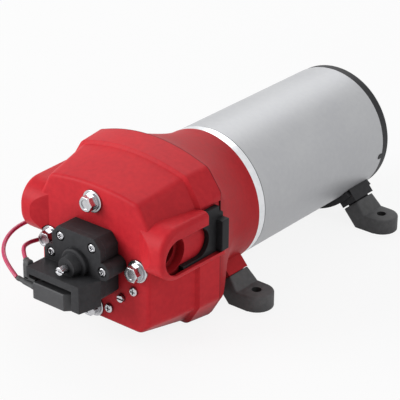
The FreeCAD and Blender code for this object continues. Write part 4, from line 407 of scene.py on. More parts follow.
class NodeGroups:
    """Shader node groups that the finishes share. Each is built once."""
    COLOUR = "NodeSocketColor"
    VALUE = "NodeSocketFloat"
    VECTOR = "NodeSocketVector"
    PALE = (0.8, 0.8, 0.8, 1.0)
    MIDDLE = (0.5, 0.5, 0.5, 1.0)
    BLACK = (0.0, 0.0, 0.0, 1.0)
    SMALL_PATCHES = 9.0
    PATCH_SPREAD = {"From Min": 0.75, "From Max": 1.25}
    EDGE_TURN = {"From Min": 0.98, "From Max": 0.80}
    # How ambient occlusion is spread into the share of painted shade.
    HIDDEN_SPREAD = {"From Min": 0.15, "From Max": 0.75, "To Min": 1.0, "To Max": 0.0}
    SEAM_FALL = {"From Min": 0.0, "To Min": 1.0, "To Max": 0.0}

    def __init__(self) -> None:
        """Build every group."""
        self.patches = self._patches()
        self.grain = self._grain()
        self.rings = self._rings()
        self.edges = self._edges()
        self.painted_shade = self._painted_shade()
        self.seam = self._seam()

    @staticmethod
    def _new(name: str, inputs: dict[str, tuple], outputs: dict[str, str]) -> tuple:
        """Start a group with its sockets.

        Args:
            name: the group's name.
            inputs: name of each input, with its socket type and default value.
            outputs: name of each output, with its socket type.

        Returns:
            The tree, its input node and its output node.
        """
        tree = bpy.data.node_groups.new(name, "ShaderNodeTree")
        for label, (kind, default) in inputs.items():
            made = tree.interface.new_socket(name=label, in_out="INPUT", socket_type=kind)
            made.default_value = default
        for label, kind in outputs.items():
            tree.interface.new_socket(name=label, in_out="OUTPUT", socket_type=kind)
        return tree, add_node(tree, "NodeGroupInput"), add_node(tree, "NodeGroupOutput")

    def _patches(self) -> bpy.types.NodeTree:
        """Slow change between a light and a dark colour.

        Two noises, of which one is nine times as fine, are added, and their sum is spread from 0 to 1.

        Returns:
            The group, with the outputs Color and Mask.
        """
        tree, enter, leave = self._new(
            "patches",
            {"Scale": (self.VALUE, 40.0), "Light": (self.COLOUR, self.PALE),
             "Dark": (self.COLOUR, self.MIDDLE)},
            {"Color": self.COLOUR, "Mask": self.VALUE})
        place = add_node(tree, "ShaderNodeTexCoord")
        large = add_node(tree, "ShaderNodeTexNoise", {"Detail": 3.0})
        finer = add_node(tree, "ShaderNodeMath", {1: self.SMALL_PATCHES}, operation="MULTIPLY")
        small = add_node(tree, "ShaderNodeTexNoise", {"Detail": 5.0})
        both = add_node(tree, "ShaderNodeMath", operation="ADD")
        spread = add_node(tree, "ShaderNodeMapRange", self.PATCH_SPREAD)
        mix = add_node(tree, "ShaderNodeMix", data_type="RGBA")
        wire(tree,
             (place, "Object", large, "Vector"), (place, "Object", small, "Vector"),
             (enter, "Scale", large, "Scale"), (enter, "Scale", finer, 0), (finer, 0, small, "Scale"),
             (large, "Fac", both, 0), (small, "Fac", both, 1), (both, 0, spread, "Value"),
             (spread, "Result", mix, "Factor"), (enter, "Dark", mix, "A"), (enter, "Light", mix, "B"),
             (mix, "Result", leave, "Color"), (spread, "Result", leave, "Mask"))
        return tree

    def _grain(self) -> bpy.types.NodeTree:
        """Fine relief: noise on object coordinates, stretched along one or more axes.

        Returns:
            The group, with the output Height.
        """
        tree, enter, leave = self._new(
            "grain",
            {"Stretch": (self.VECTOR, (1.0, 1.0, 1.0)), "Scale": (self.VALUE, 1000.0),
             "Detail": (self.VALUE, 3.0)},
            {"Height": self.VALUE})
        place = add_node(tree, "ShaderNodeTexCoord")
        stretch = add_node(tree, "ShaderNodeVectorMath", operation="MULTIPLY")
        noise = add_node(tree, "ShaderNodeTexNoise", {"Roughness": 0.6})
        wire(tree,
             (place, "Object", stretch, 0), (enter, "Stretch", stretch, 1),
             (stretch, "Vector", noise, "Vector"), (enter, "Scale", noise, "Scale"),
             (enter, "Detail", noise, "Detail"), (noise, "Fac", leave, "Height"))
        return tree

    def _rings(self) -> bpy.types.NodeTree:
        """Turning marks: noise read at the distance from the motor's axis and at y.

        Returns:
            The group, with the output Height.
        """
        tree, enter, leave = self._new(
            "rings", {"Scale": (self.VALUE, 2400.0), "Detail": (self.VALUE, 2.0)}, {"Height": self.VALUE})
        place = add_node(tree, "ShaderNodeTexCoord")
        centre = add_node(tree, "ShaderNodeMapping", {"Location": (0.0, 0.0, -PUMP_ORIGIN_MM[2] * MM)})
        split = add_node(tree, "ShaderNodeSeparateXYZ")
        flat = add_node(tree, "ShaderNodeCombineXYZ")
        length = add_node(tree, "ShaderNodeVectorMath", operation="LENGTH")
        where = add_node(tree, "ShaderNodeCombineXYZ")
        noise = add_node(tree, "ShaderNodeTexNoise")
        wire(tree,
             (place, "Object", centre, "Vector"), (centre, "Vector", split, "Vector"),
             (split, "X", flat, "X"), (split, "Z", flat, "Z"), (flat, "Vector", length, 0),
             (length, "Value", where, "X"), (split, "Y", where, "Y"), (where, "Vector", noise, "Vector"),
             (enter, "Scale", noise, "Scale"), (enter, "Detail", noise, "Detail"),
             (noise, "Fac", leave, "Height"))
        return tree

    def _edges(self) -> bpy.types.NodeTree:
        """Softened edges: the normal of a small round, and how far that turns from the true normal.

        Returns:
            The group, with the outputs Normal and Edge.
        """
        tree, enter, leave = self._new(
            "edges", {"Radius": (self.VALUE, 0.0003)}, {"Normal": self.VECTOR, "Edge": self.VALUE})
        round_off = add_node(tree, "ShaderNodeBevel", samples=6)
        geometry = add_node(tree, "ShaderNodeNewGeometry")
        dot = add_node(tree, "ShaderNodeVectorMath", operation="DOT_PRODUCT")
        away = add_node(tree, "ShaderNodeMapRange", self.EDGE_TURN)
        wire(tree,
             (enter, "Radius", round_off, "Radius"), (round_off, "Normal", dot, 0),
             (geometry, "Normal", dot, 1), (dot, "Value", away, "Value"),
             (round_off, "Normal", leave, "Normal"), (away, "Result", leave, "Edge"))
        return tree

    def _painted_shade(self) -> bpy.types.NodeTree:
        """Painted shade in hollows: the base colour darkened by ambient occlusion, where the surface looks
        out on its own neighbours.

        Returns:
            The group, with the output Color.
        """
        tree, enter, leave = self._new(
            "painted_shade",
            {"Color": (self.COLOUR, self.PALE), "Reach": (self.VALUE, 0.012), "Depth": (self.VALUE, 0.5)},
            {"Color": self.COLOUR})
        hidden = add_node(tree, "ShaderNodeAmbientOcclusion", samples=8)
        closed = add_node(tree, "ShaderNodeMapRange", self.HIDDEN_SPREAD)
        amount = add_node(tree, "ShaderNodeMath", operation="MULTIPLY")
        mix = add_node(tree, "ShaderNodeMix", {"B": self.BLACK}, data_type="RGBA")
        wire(tree,
             (enter, "Reach", hidden, "Distance"), (hidden, "AO", closed, "Value"),
             (closed, "Result", amount, 0), (enter, "Depth", amount, 1), (amount, 0, mix, "Factor"),
             (enter, "Color", mix, "A"), (mix, "Result", leave, "Color"))
        return tree

    def _seam(self) -> bpy.types.NodeTree:
        """Dark joint between the housings: 1 in the seam's plane, softly down to 0 at a set distance.

        Returns:
            The group, with the output Mask.
        """
        tree, enter, leave = self._new(
            "seam", {"Place": (self.VALUE, 0.0), "Width": (self.VALUE, 0.0004)}, {"Mask": self.VALUE})
        place = add_node(tree, "ShaderNodeTexCoord")
        split = add_node(tree, "ShaderNodeSeparateXYZ")
        away = add_node(tree, "ShaderNodeMath", operation="SUBTRACT")
        distance = add_node(tree, "ShaderNodeMath", operation="ABSOLUTE")
        line = add_node(tree, "ShaderNodeMapRange", self.SEAM_FALL)
        wire(tree,
             (place, "Object", split, "Vector"), (split, "Y", away, 0), (enter, "Place", away, 1),
             (away, 0, distance, 0), (distance, 0, line, "Value"), (enter, "Width", line, "From Max"),
             (line, "Result", leave, "Mask"))
        return tree


class FinishBook:
    """Materials by slot, made when first asked for."""
    PATCH_SCALE = 38.0
    # Painted highlight on edges, partly wear: factor and addition that lighten the edge colour.
    EDGE_HIGHLIGHT_LIFT = 1.7
    EDGE_HIGHLIGHT_ADD = 0.02
    COAT_ROUGHNESS = 0.25
    # Reach of the ambient occlusion that paints shade into hollows.
    PAINTED_SHADE_REACH = 0.018
    SEAM_Y = -0.092
    SEAM_WIDTH = 0.0007
    SEAM_COLOUR = (70, 12, 18)

    def __init__(self) -> None:
        """Build the node groups."""
        self.groups = NodeGroups()
        self.finishes = {finish.slot: finish for finish in FINISH_LIST}
        self.made: dict[str, bpy.types.Material] = {}

    def material(self, slot: str) -> bpy.types.Material:
        """The material of a slot, built when it is first asked for.

        Args:
            slot: the record's slot, or the name of a part's own finish.

        Returns:
            The material.
        """
        if slot not in self.made:
            self.made[slot] = self._build(self.finishes[slot])
        return self.made[slot]

    def _place(self, tree: bpy.types.NodeTree, group: bpy.types.NodeTree,
               values: dict[str, object]) -> bpy.types.Node:
        """Place a group in a material with its own values."""
        return add_node(tree, "ShaderNodeGroup", values, node_tree=group)

    def _relief(self, tree: bpy.types.NodeTree, grain: Grain) -> bpy.types.Node:
        """Place the group that draws one kind of grain: rings round the motor's axis, or plain noise.

        Args:
            tree: the material's tree.
            grain: the kind of grain.

        Returns:
            The placed group.
        """
        sizes = GRAINS[grain]
        values = {"Scale": sizes.scale, "Detail": sizes.detail}
        if grain is Grain.TURNED:
            return self._place(tree, self.groups.rings, values)
        return self._place(tree, self.groups.grain, {"Stretch": sizes.stretch, **values})

    def _colour(self, tree: bpy.types.NodeTree, finish: Finish, patches: bpy.types.Node,
                edges: bpy.types.Node) -> tuple[bpy.types.Node, str]:
        """Base colour: the patches, lighter at edges as wear and painted highlight and darker in hollows as
        painted shade, with the seam if it has one.

        Args:
            tree: the material's tree.
            finish: what it looks like.
            patches: the placed group of patches.
            edges: the placed group of edges.

        Returns:
            The last node and the name of its output.
        """
        # Edges lightened: wear and a painted highlight.
        edge_lightening = add_node(tree, "ShaderNodeMath", {1: finish.edge_wear_and_highlight}, operation="MULTIPLY")
        bright = [min(1.0, value * self.EDGE_HIGHLIGHT_LIFT + self.EDGE_HIGHLIGHT_ADD) for value in linear(*finish.light)[:3]]
        lift = add_node(tree, "ShaderNodeMix", {"B": (*bright, 1.0)}, data_type="RGBA")
        # Hollows darkened: painted shade from ambient occlusion.
        painted_shade = self._place(tree, self.groups.painted_shade, {
            "Reach": self.PAINTED_SHADE_REACH, "Depth": finish.painted_shade_depth})
        wire(tree,
             (edges, "Edge", edge_lightening, 0), (edge_lightening, 0, lift, "Factor"), (patches, "Color", lift, "A"),
             (lift, "Result", painted_shade, "Color"))
        if not finish.seam:
            return painted_shade, "Color"
        seam = self._place(tree, self.groups.seam, {"Place": self.SEAM_Y, "Width": self.SEAM_WIDTH})
        jointed = add_node(tree, "ShaderNodeMix", {"B": linear(*self.SEAM_COLOUR)}, data_type="RGBA")
        wire(tree, (seam, "Mask", jointed, "Factor"), (painted_shade, "Color", jointed, "A"))
        return jointed, "Result"

    def _build(self, finish: Finish) -> bpy.types.Material:
        """Build the material of a finish. Grain gives the relief, and roughness follows grain and patches.

        Args:
            finish: what it looks like.

        Returns:
            The material.
        """
        material = bpy.data.materials.new(finish.slot)
        material.use_nodes = True
        tree = material.node_tree
        shader = tree.nodes["Principled BSDF"]
        shader.inputs["Metallic"].default_value = finish.metallic
        shader.inputs["Specular IOR Level"].default_value = finish.specular
        shader.inputs["Coat Weight"].default_value = finish.coat
        shader.inputs["Coat Roughness"].default_value = self.COAT_ROUGHNESS
        patches = self._place(tree, self.groups.patches, {
            "Scale": self.PATCH_SCALE, "Light": linear(*finish.light), "Dark": linear(*finish.dark)})
        edges = self._place(tree, self.groups.edges, {"Radius": finish.edge_mm * MM})
        grain = self._relief(tree, finish.grain)
        colour, output = self._colour(tree, finish, patches, edges)
        lowest, highest = finish.roughness
        gloss = add_node(tree, "ShaderNodeMapRange", {"To Min": lowest, "To Max": highest})
        blend = add_node(tree, "ShaderNodeMath", {1: 0.5}, operation="MULTIPLY_ADD")
        half = add_node(tree, "ShaderNodeMath", {1: 0.5}, operation="MULTIPLY")
        bump = add_node(tree, "ShaderNodeBump", {"Distance": GRAINS[finish.grain].depth_mm * MM})
        wire(tree,
             (colour, output, shader, "Base Color"),
             (grain, "Height", half, 0), (patches, "Mask", blend, 0), (half, 0, blend, 2),
             (blend, 0, gloss, "Value"), (gloss, "Result", shader, "Roughness"),
             (grain, "Height", bump, "Height"), (edges, "Normal", bump, "Normal"),
             (bump, "Normal", shader, "Normal"))
        return material


FINISHES = FinishBook()


class CarriedParts:
    """The CAD nodes that keep their shapes."""
    REPLACED = {"rubber_feet", "terminal_boots", "lead_grommet", "switch_lead_outer", "switch_lead_inner",
                "brush_spring_right", "brush_spring_left", "bypass_spring", "switch_spring"}
    OWN_FINISH = {"port_clip_right": "clip_plastic", "port_clip_left": "clip_plastic"}

    def dress(self) -> None:
        """Give each carried node its own finish or its slot's, in every material slot of its object."""
        for part in frame["record"]["subparts"]:
            name = part["node"]
            if name in self.REPLACED:
                continue
            node = frame["nodes"][name]
            finish = self.OWN_FINISH.get(name, part["material_slot"])
            material = FINISHES.material(finish)
            if not node.material_slots:
                node.data.materials.append(material)
            for place in node.material_slots:
                place.material = material
            LOG.info("%s: finish %s", name, finish)


@dataclass(frozen=True)
class RubberFeet:
    """The four rubber feet: a sleeve on the housing's sloped leg, and a round ended pad with a hole."""
    half_spacing: float = 51.0
    front_y: float = -15.5
    rear_y: float = 109.5
    base_z: float = -47.0
    pad_height: float = 9.5
    half_width: float = 9.8
    end_x: float = 61.2
    end_radius: float = 9.7
    pad_edge: float = 1.2
    base_edge: float = 0.5
    hole_radius: float = 2.8
    hole_edge: float = 0.5
    slope_degrees: float = 48.5
    rim_x: float = 34.0
    rim_z: float = -33.9
    sleeve_half_thickness: float = 5.6
    sleeve_half_width: float = 8.2
    sleeve_top_z: float = -30.2
    sleeve_inset: float = 0.06
    sleeve_corner: float = 1.0
    sleeve_edge: float = 0.45
    pocket_half_thickness: float = 3.72
    pocket_half_width: float = 6.32
    pocket_depth: float = 9.1
    pocket_corner: float = 0.5
    lip: float = 0.3
    lip_depth: float = 0.35
    lip_corner: float = 0.2
    pad_inner_x: float = 39.5
    pad_inner_corner: float = 1.0
    pad_parts: int = 16
    ridge_half_width: float = 0.7
    ridge_height: float = 0.16
    sleeve_rows: int = 8
    sleeve_first: float = 0.08

    def _on_leg(self, along: np.ndarray, loop: np.ndarray, y: float) -> np.ndarray:
        """Points at a distance down the leg from the sleeve's rim, where the loop is (across, sideways).

        Args:
            along: distance down the leg, one for each point of the loop.
            loop: (across, sideways) pairs.
            y: the foot's place along the pump.

        Returns:
            Points x, y, z.
        """
        slope = math.radians(self.slope_degrees)
        x = self.rim_x + math.cos(slope) * along + math.sin(slope) * loop[:, 0]
        z = self.rim_z - math.sin(slope) * along + math.cos(slope) * loop[:, 0]
        return np.stack([x, y + loop[:, 1], z], -1)

    def _widened(self, points: np.ndarray, y: float) -> np.ndarray:
        """Widen the outer wall sideways from its rim down to the pad's top, and keep that width below.

        The half width grows evenly with the way down.

        Args:
            points: points x, y, z of the wall, which are changed.
            y: the foot's place along the pump.

        Returns:
            The same points.
        """
        widths = [self.half_width - self.sleeve_inset, self.sleeve_half_width]
        half = np.interp(points[:, 2], [self.base_z + self.pad_height, self.sleeve_top_z], widths)
        points[:, 1] = y + (points[:, 1] - y) * half / self.sleeve_half_width
        return points

    def _sleeve(self, y: float) -> Shell:
        """Sleeve: the pocket's floor and wall, the rim, the outer wall with its ridge, and the sole.

        Each row is a rounded rectangle across the leg. The last rows end where they meet the base.

        Args:
            y: the foot's place along the pump.

        Returns:
            The closed surface.
        """
        slope = math.radians(self.slope_degrees)
        rows = []
        pocket = rounded_loop(self.pocket_half_thickness, self.pocket_half_width, self.pocket_corner)
        flat = np.ones(len(pocket))
        rows.append(self._on_leg(flat * self.pocket_depth, pocket, y))
        rows.append(self._on_leg(flat * self.lip_depth, pocket, y))
        lip = rounded_loop(self.pocket_half_thickness + self.lip, self.pocket_half_width + self.lip,
                           self.pocket_corner + self.lip_corner)
        rows.append(self._on_leg(flat * 0.0, lip, y))
        for drawn_in, down in quarter_round(self.sleeve_edge):
            loop = rounded_loop(self.sleeve_half_thickness - drawn_in, self.sleeve_half_width - drawn_in,
                                self.sleeve_corner)
            rows.append(self._widened(self._on_leg(flat * down, loop, y), y))
        outer = rounded_loop(self.sleeve_half_thickness, self.sleeve_half_width, self.sleeve_corner)
        ridge = np.clip(1 - np.abs(outer[:, 1]) / self.ridge_half_width, 0, 1) * (outer[:, 0] > 0)
        outer[:, 0] += self.ridge_height * ridge
        reach = (self.rim_z + math.cos(slope) * outer[:, 0] - self.base_z) / math.sin(slope)
        for part in np.linspace(self.sleeve_first, 1.0, self.sleeve_rows):
            along = self.sleeve_edge + (reach - self.sleeve_edge) * part
            rows.append(self._widened(self._on_leg(along, outer, y), y))
        return Shell(np.array(rows))

    def _outline(self) -> np.ndarray:
        """Plan of the pad: a tongue whose inner end is hidden in the sleeve and whose outer end is round.

        Returns:
            Array of pairs: x, and y from the foot's middle.
        """
        middle = (self.end_x + self.pad_inner_x) / 2
        size = (self.end_x - middle, self.half_width)
        loop = rounded_loop(*size, self.end_radius, self.pad_parts, self.pad_parts)
        square = rounded_loop(*size, self.pad_inner_corner, self.pad_parts, self.pad_parts)
        back = loop[:, 0] < 0
        loop[back] = square[back]
        loop[:, 0] += middle
        return loop

    def _pad(self, y: float) -> Shell:
        """Pad: rows that go up the hole, out over the top, down the side and back under the base.

        Each row's points lie on rays from the hole's axis to the outline.

        Args:
            y: the foot's place along the pump.

        Returns:
            The closed surface, a ring round the hole.
        """
        outline = self._outline()
        centre = np.array([self.half_spacing, 0.0])
        ray = outline - centre
        reach = np.linalg.norm(ray, axis=1, keepdims=True)
        unit = ray / reach
        top = self.base_z + self.pad_height

        def row(distance: np.ndarray, z: float) -> np.ndarray:
            """Points at a distance from the hole's axis, at one height."""
            plan = centre + unit * distance
            return np.stack([plan[:, 0], y + plan[:, 1], np.full(len(plan), z)], -1)

        hole = np.full_like(reach, self.hole_radius)
        rows = [row(hole, self.base_z + self.hole_edge)]
        for drawn_in, down in quarter_round(self.hole_edge)[::-1]:
            rows.append(row(hole + self.hole_edge - drawn_in, top - self.hole_edge + (self.hole_edge - down)))
        for drawn_in, down in quarter_round(self.pad_edge, steps=7):
            rows.append(row(reach - drawn_in, top - down))
        for drawn_in, down in quarter_round(self.base_edge)[::-1]:
            rows.append(row(reach - drawn_in, self.base_z + down))
        rows.append(row(hole + self.hole_edge, self.base_z))
        return Shell(np.array(rows), ring=True)

    def build(self) -> None:
        """Make the four feet in place of the CAD feet."""
        for place, y in (("front", self.front_y), ("rear", self.rear_y)):
            shells = [self._sleeve(y), self._pad(y)]
            sides = {"right": shells, "left": [shell.mirrored() for shell in shells]}
            for side, made in sides.items():
                piece = make_piece(f"foot_{place}_{side}", made, "black_rubber")
                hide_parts("rubber_feet")


@dataclass(frozen=True)
class SwitchLeads:
    """The two insulated leads from the pressure switch to the grommet, with their boots and the grommet.

    The diameter, the lengths and the routes are metres in the row's frame, as in the CAD source.
    """
    diameter: float = 0.0024
    spline_order: int = 3
    parts_along: int = 12
    parts_round: int = 6
    outer_length: float = 0.1156
    inner_length: float = 0.0944
    outer_route: tuple = (
        (-.0326, -.1678, .0320), (-.0424, -.1650, .0352), (-.0520, -.1590, .0376), (-.0584, -.1505, .0397),
        (-.0612, -.1400, .0418), (-.0610, -.1280, .0424), (-.0604, -.1160, .0400), (-.0606, -.1045, .0355),
        (-.0604, -.0935, .0305), (-.0584, -.0820, .0267), (-.0494, -.0750, .0260))
    inner_route: tuple = (
        (-.0294, -.1638, .0428), (-.0372, -.1586, .0446), (-.0414, -.1492, .0430), (-.0428, -.1394, .0406),
        (-.0452, -.1296, .0376), (-.0488, -.1196, .0350), (-.0530, -.1086, .0328), (-.0554, -.0974, .0298),
        (-.0542, -.0880, .0270), (-.0498, -.0794, .0260))
    lower_root: tuple = (-19.1, -119.9, -16.6)
    lower_end: tuple = (-32.6, -120.8, -15.0)
    lower_short: float = 0.5
    upper_centre: tuple = (-25.9, -118.4)
    hood_half_x: float = 2.0
    hood_half_y: float = 2.3
    hood_corner: float = 0.45
    hood_share_x: float = 0.8
    hood_rows: tuple = (
        (1.2, -13.9), (0.5, -13.9), (0.12, -13.75), (0.0, -13.3), (0.0, -5.2), (0.12, -4.2), (0.4, -3.5),
        (0.85, -3.05), (1.4, -2.8))
    sleeve_z: float = -13.1
    sleeve_half_height: float = 0.95
    sleeve_corner: float = 0.4
    sleeve_rows: tuple = ((0.6, -27.0), (0.0, -26.6), (0.0, -19.6), (0.12, -19.3), (0.4, -19.2))
    nose_z: float = -5.2
    upper_end: tuple = (-29.4, -116.8, -4.2)
    upper_short: float = 0.3
    grommet_face: tuple = (-48.6, -30.0, -21.0)
    grommet_radius: float = 6.0
    lead_offsets: tuple = (2.0, -2.4)

    def _lead(self, name: str, route: tuple) -> bpy.types.Object:
        """One lead: a smooth spline with the route's points as its control points, and round in section.

        Args:
            name: the piece's name.
            route: its control points.

        Returns:
            The object.
        """
        curve = bpy.data.curves.new(name, "CURVE")
        curve.dimensions = "3D"
        spline = curve.splines.new("NURBS")
        spline.points.add(len(route) - 1)
        spline.points.foreach_set("co", np.column_stack([route, np.ones(len(route))]).ravel())
        spline.order_u = self.spline_order
        spline.use_endpoint_u = True
        spline.resolution_u = self.parts_along
        curve.bevel_depth = self.diameter / 2
        curve.bevel_resolution = self.parts_round
        curve.use_fill_caps = True
        curve.materials.append(FINISHES.material("red_insulation"))
        lead = add_object(name, curve)
        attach(lead, MAIN_BODY)
        LOG.info("%s: %d route points", name, len(route))
        return lead

    def build_leads(self) -> None:
        """Make both leads in place of the CAD leads."""
        outer = self._lead("lead_outer", self.outer_route)
        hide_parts("switch_lead_outer")
        inner = self._lead("lead_inner", self.inner_route)
        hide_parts("switch_lead_inner")

    def _lower_boot(self) -> list[Shell]:
        """Boot in line with the lower terminal: a body, a neck and a collar where the lead comes out.

        It is turned about the line from the terminal to the lead, and it is thinner than it is wide along y.

        Returns:
            Its one closed surface.
        """
        start, end = np.array(self.lower_root), np.array(self.lower_end)
        length = np.linalg.norm(end - start) - self.lower_short
        profile = np.array([
            (0.0, 1.2), (0.0, 1.9), (0.15, 2.2), (0.5, 2.35), (1.6, 2.35), (2.0, 2.2), (5.0, 2.1),
            (7.6, 1.94), (8.6, 1.8), (9.4, 1.50), (length - 2.4, 1.42), (length - 2.1, 1.46),
            (length - 1.6, 1.51), (length - 0.8, 1.51), (length - 0.3, 1.46), (length, 1.36), (length, 1.1)])
        flatten = np.interp(profile[:, 0], [0.0, 6.0, 9.4, length], [0.80, 0.80, 0.95, 1.0])
        return [turned_shell(profile, start, end - start, flatten=flatten, wide=np.array([0.0, 1.0, 0.0]))]

    def _upper_boot(self) -> list[Shell]:
        """Boot on the upturned terminal.

        A flat sided hood with a round top stands on a flat sleeve, and a nose points to the lead. Each row of
        the hood says how far it is drawn in and its height, and each row of the sleeve its place across.

        Returns:
            The hood, the sleeve and the nose.
        """
        x, y = self.upper_centre
        hood = []
        for drawn_in, z in self.hood_rows:
            loop = rounded_loop(self.hood_half_x - drawn_in * self.hood_share_x,
                                self.hood_half_y - drawn_in, self.hood_corner, side=6, corner=5)
            hood.append(np.stack([x + loop[:, 0], y + loop[:, 1], np.full(len(loop), z)], -1))
        sleeve = []
        for drawn_in, place in self.sleeve_rows:
            loop = rounded_loop(self.hood_half_y - drawn_in, self.sleeve_half_height - drawn_in,
                                self.sleeve_corner, side=6, corner=5)
            across = np.full(len(loop), place)
            sleeve.append(np.stack([across, y + loop[:, 0], self.sleeve_z + loop[:, 1]], -1))
        root = np.array([x, y, self.nose_z])
        end = np.array(self.upper_end)
        length = np.linalg.norm(end - root) - self.upper_short
        nose = np.array([(-0.6, 0.8), (-0.4, 1.7), (0.8, 1.9), (length - 1.6, 1.62), (length - 1.3, 1.82),
                         (length - 0.5, 1.82), (length - 0.1, 1.62), (length, 1.2)])
        return [Shell(np.array(hood)), Shell(np.array(sleeve)), turned_shell(nose, root, end - root)]

    def _grommet(self) -> list[Shell]:
        """Grommet: a dished flange with a round rim, a plug into the bell, and a collar round each lead.

        All are turned about lines along x, into the bell.

        Returns:
            The grommet and the two collars.
        """
        face = np.array(self.grommet_face)
        inwards = np.array([1.0, 0.0, 0.0])
        rim = self.grommet_radius
        profile = np.array([
            (0.45, 0.4), (0.45, 3.2), (0.3, 3.9), (0.08, 4.4), (0.0, 4.9), (0.08, 5.5), (0.3, rim - 0.12),
            (0.6, rim), (1.1, rim), (1.3, rim - 0.1), (1.4, rim - 0.4), (1.4, 4.4), (9.0, 4.3), (9.0, 0.5)])
        shells = [turned_shell(profile, face, inwards, columns=56)]
        for offset in self.lead_offsets:
            collar = np.array([(-0.7, 1.2), (-0.72, 1.5), (-0.6, 1.72), (-0.2, 1.85), (0.3, 2.0), (0.6, 2.3),
                               (0.9, 1.0)])
            shells.append(turned_shell(collar, face + np.array([0.0, offset, 0.0]), inwards, columns=32))
        return shells

    def build_boots(self) -> None:
        """Make the two boots and the grommet in place of the CAD ones."""
        lower = make_piece("boot_lower", self._lower_boot(), "black_rubber")
        upper = make_piece("boot_upper", self._upper_boot(), "black_rubber")
        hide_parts("terminal_boots")
        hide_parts("terminal_boots")
        grommet = make_piece("grommet", self._grommet(), "black_rubber")
        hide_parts("lead_grommet")


@dataclass(frozen=True)
class CapTabs:
    """The two small tabs by which the rear cap locks on the motor tube, one on each side."""
    middle_y: float = 122.2
    middle_degrees: float = -9.8
    half_length: float = 1.9
    half_width: float = 1.7
    corner: float = 0.8
    sunk_radius: float = 39.4
    proud_radius: float = 40.3
    edge: float = 0.18

    def build(self) -> None:
        """Make both tabs: rounded rectangles wrapped on the tube, drawn in at their outer edge."""
        rows = [self._row(0.0, self.sunk_radius)]
        for drawn_in, down in quarter_round(self.edge)[::-1]:
            rows.append(self._row(drawn_in, self.proud_radius - down))
        tab = Shell(np.array(rows))
        for side, shell in (("right", tab), ("left", tab.mirrored())):
            make_piece(f"cap_tab_{side}", [shell], "black_plastic")

    def _row(self, drawn_in: float, radius: float) -> np.ndarray:
        """Outline of the tab on a cylinder: its width is measured round the cylinder and its length along y.

        Args:
            drawn_in: how far inside the full outline.
            radius: radius of the cylinder.

        Returns:
            Points x, y, z.
        """
        loop = rounded_loop(self.half_width - drawn_in, self.half_length - drawn_in, self.corner, side=6)
        angle = math.radians(self.middle_degrees) + loop[:, 0] / radius
        return np.stack([radius * np.cos(angle), self.middle_y + loop[:, 1], radius * np.sin(angle)], -1)


@dataclass(frozen=True)
class Spring:
    """One coil spring that its joint presses together towards its fixed end.

    Attributes:
        node: the CAD node that it replaces.
        joint: the joint that presses it; not used.
        fixed: its fixed end, in pump millimetres.
        towards: direction from the fixed end to the moving end.
        length: length at rest.
        radius: radius of the wire's centreline.
        wire: diameter of the wire.
        travel: how far the moving end comes in at the joint's limit; not used.
        turns: number of turns.
    """
    node: str
    joint: str
    fixed: tuple[float, float, float]
    towards: tuple[float, float, float]
    length: float
    radius: float
    wire: float
    travel: float
    turns: int = 5

    def _coil(self, parts: int = 36, columns: int = 12) -> Shell:
        """Round wire along a helix, whose angle and place along the axis grow evenly together.

        Each row is a circle across the helix's direction. The first and the last lie half a wire inside the
        spring's ends.

        Args:
            parts: rows in each turn.
            columns: points round the wire.

        Returns:
            The closed surface.
        """
        axis = np.array(self.towards)
        first = np.array([0.0, 0.0, 1.0])
        second = np.cross(axis, first)
        part = np.linspace(0, 1, self.turns * parts + 1)[:, None]
        angle = 2 * math.pi * self.turns * part
        out = first * np.cos(angle) + second * np.sin(angle)
        reach = self.wire / 2 + (self.length - self.wire) * part
        line = np.array(self.fixed) + axis * reach + self.radius * out
        along = np.gradient(line, axis=0)
        along /= np.linalg.norm(along, axis=1, keepdims=True)
        across = np.cross(along, out)
        turn = np.linspace(0, 2 * math.pi, columns, endpoint=False)[None, :, None]
        ring = out[:, None] * np.cos(turn) + across[:, None] * np.sin(turn)
        return Shell(line[:, None] + ring * self.wire / 2)

    def build(self) -> None:
        """Make the spring in place of its CAD node, with a mesh of its own."""
        piece = make_piece(f"{self.node}_coil", [self._coil()], "spring_steel")
        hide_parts(self.node)
        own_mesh(piece)


BRUSH_SPRING = {"length": 5.6, "radius": 1.5, "wire": 0.3, "travel": 3.0}
SPRINGS = (
    Spring("brush_spring_right", "right_brush_slide", (28.7, 104.5, 0.0), (-1.0, 0.0, 0.0), **BRUSH_SPRING),
    Spring("brush_spring_left", "left_brush_slide", (-28.7, 104.5, 0.0), (1.0, 0.0, 0.0), **BRUSH_SPRING),
    Spring("bypass_spring", "poppet_lift", (19.9, -87.3, -20.2), (0.0, 1.0, 0.0), 6.4, 1.6, 0.45, 1.5),
    Spring("switch_spring", "plunger_slide", (0.0, -112.3, 0.0), (0.0, 1.0, 0.0), 6.7, 2.6, 0.6, 0.55),
)


# Stage, light and camera

def turned_at(right: np.ndarray, up: np.ndarray, back: np.ndarray, place: np.ndarray) -> Matrix:
    """Matrix that turns an object's axes to three directions and puts it in its place.

    Args:
        right: direction of its x axis.
        up: direction of its y axis.
        back: direction of its z axis.
        place: its place in metres.

    Returns:
        The matrix.
    """
    turn = np.eye(4)
    turn[:3] = np.stack([right, up, back, place], axis=1)
    return Matrix(turn.tolist())


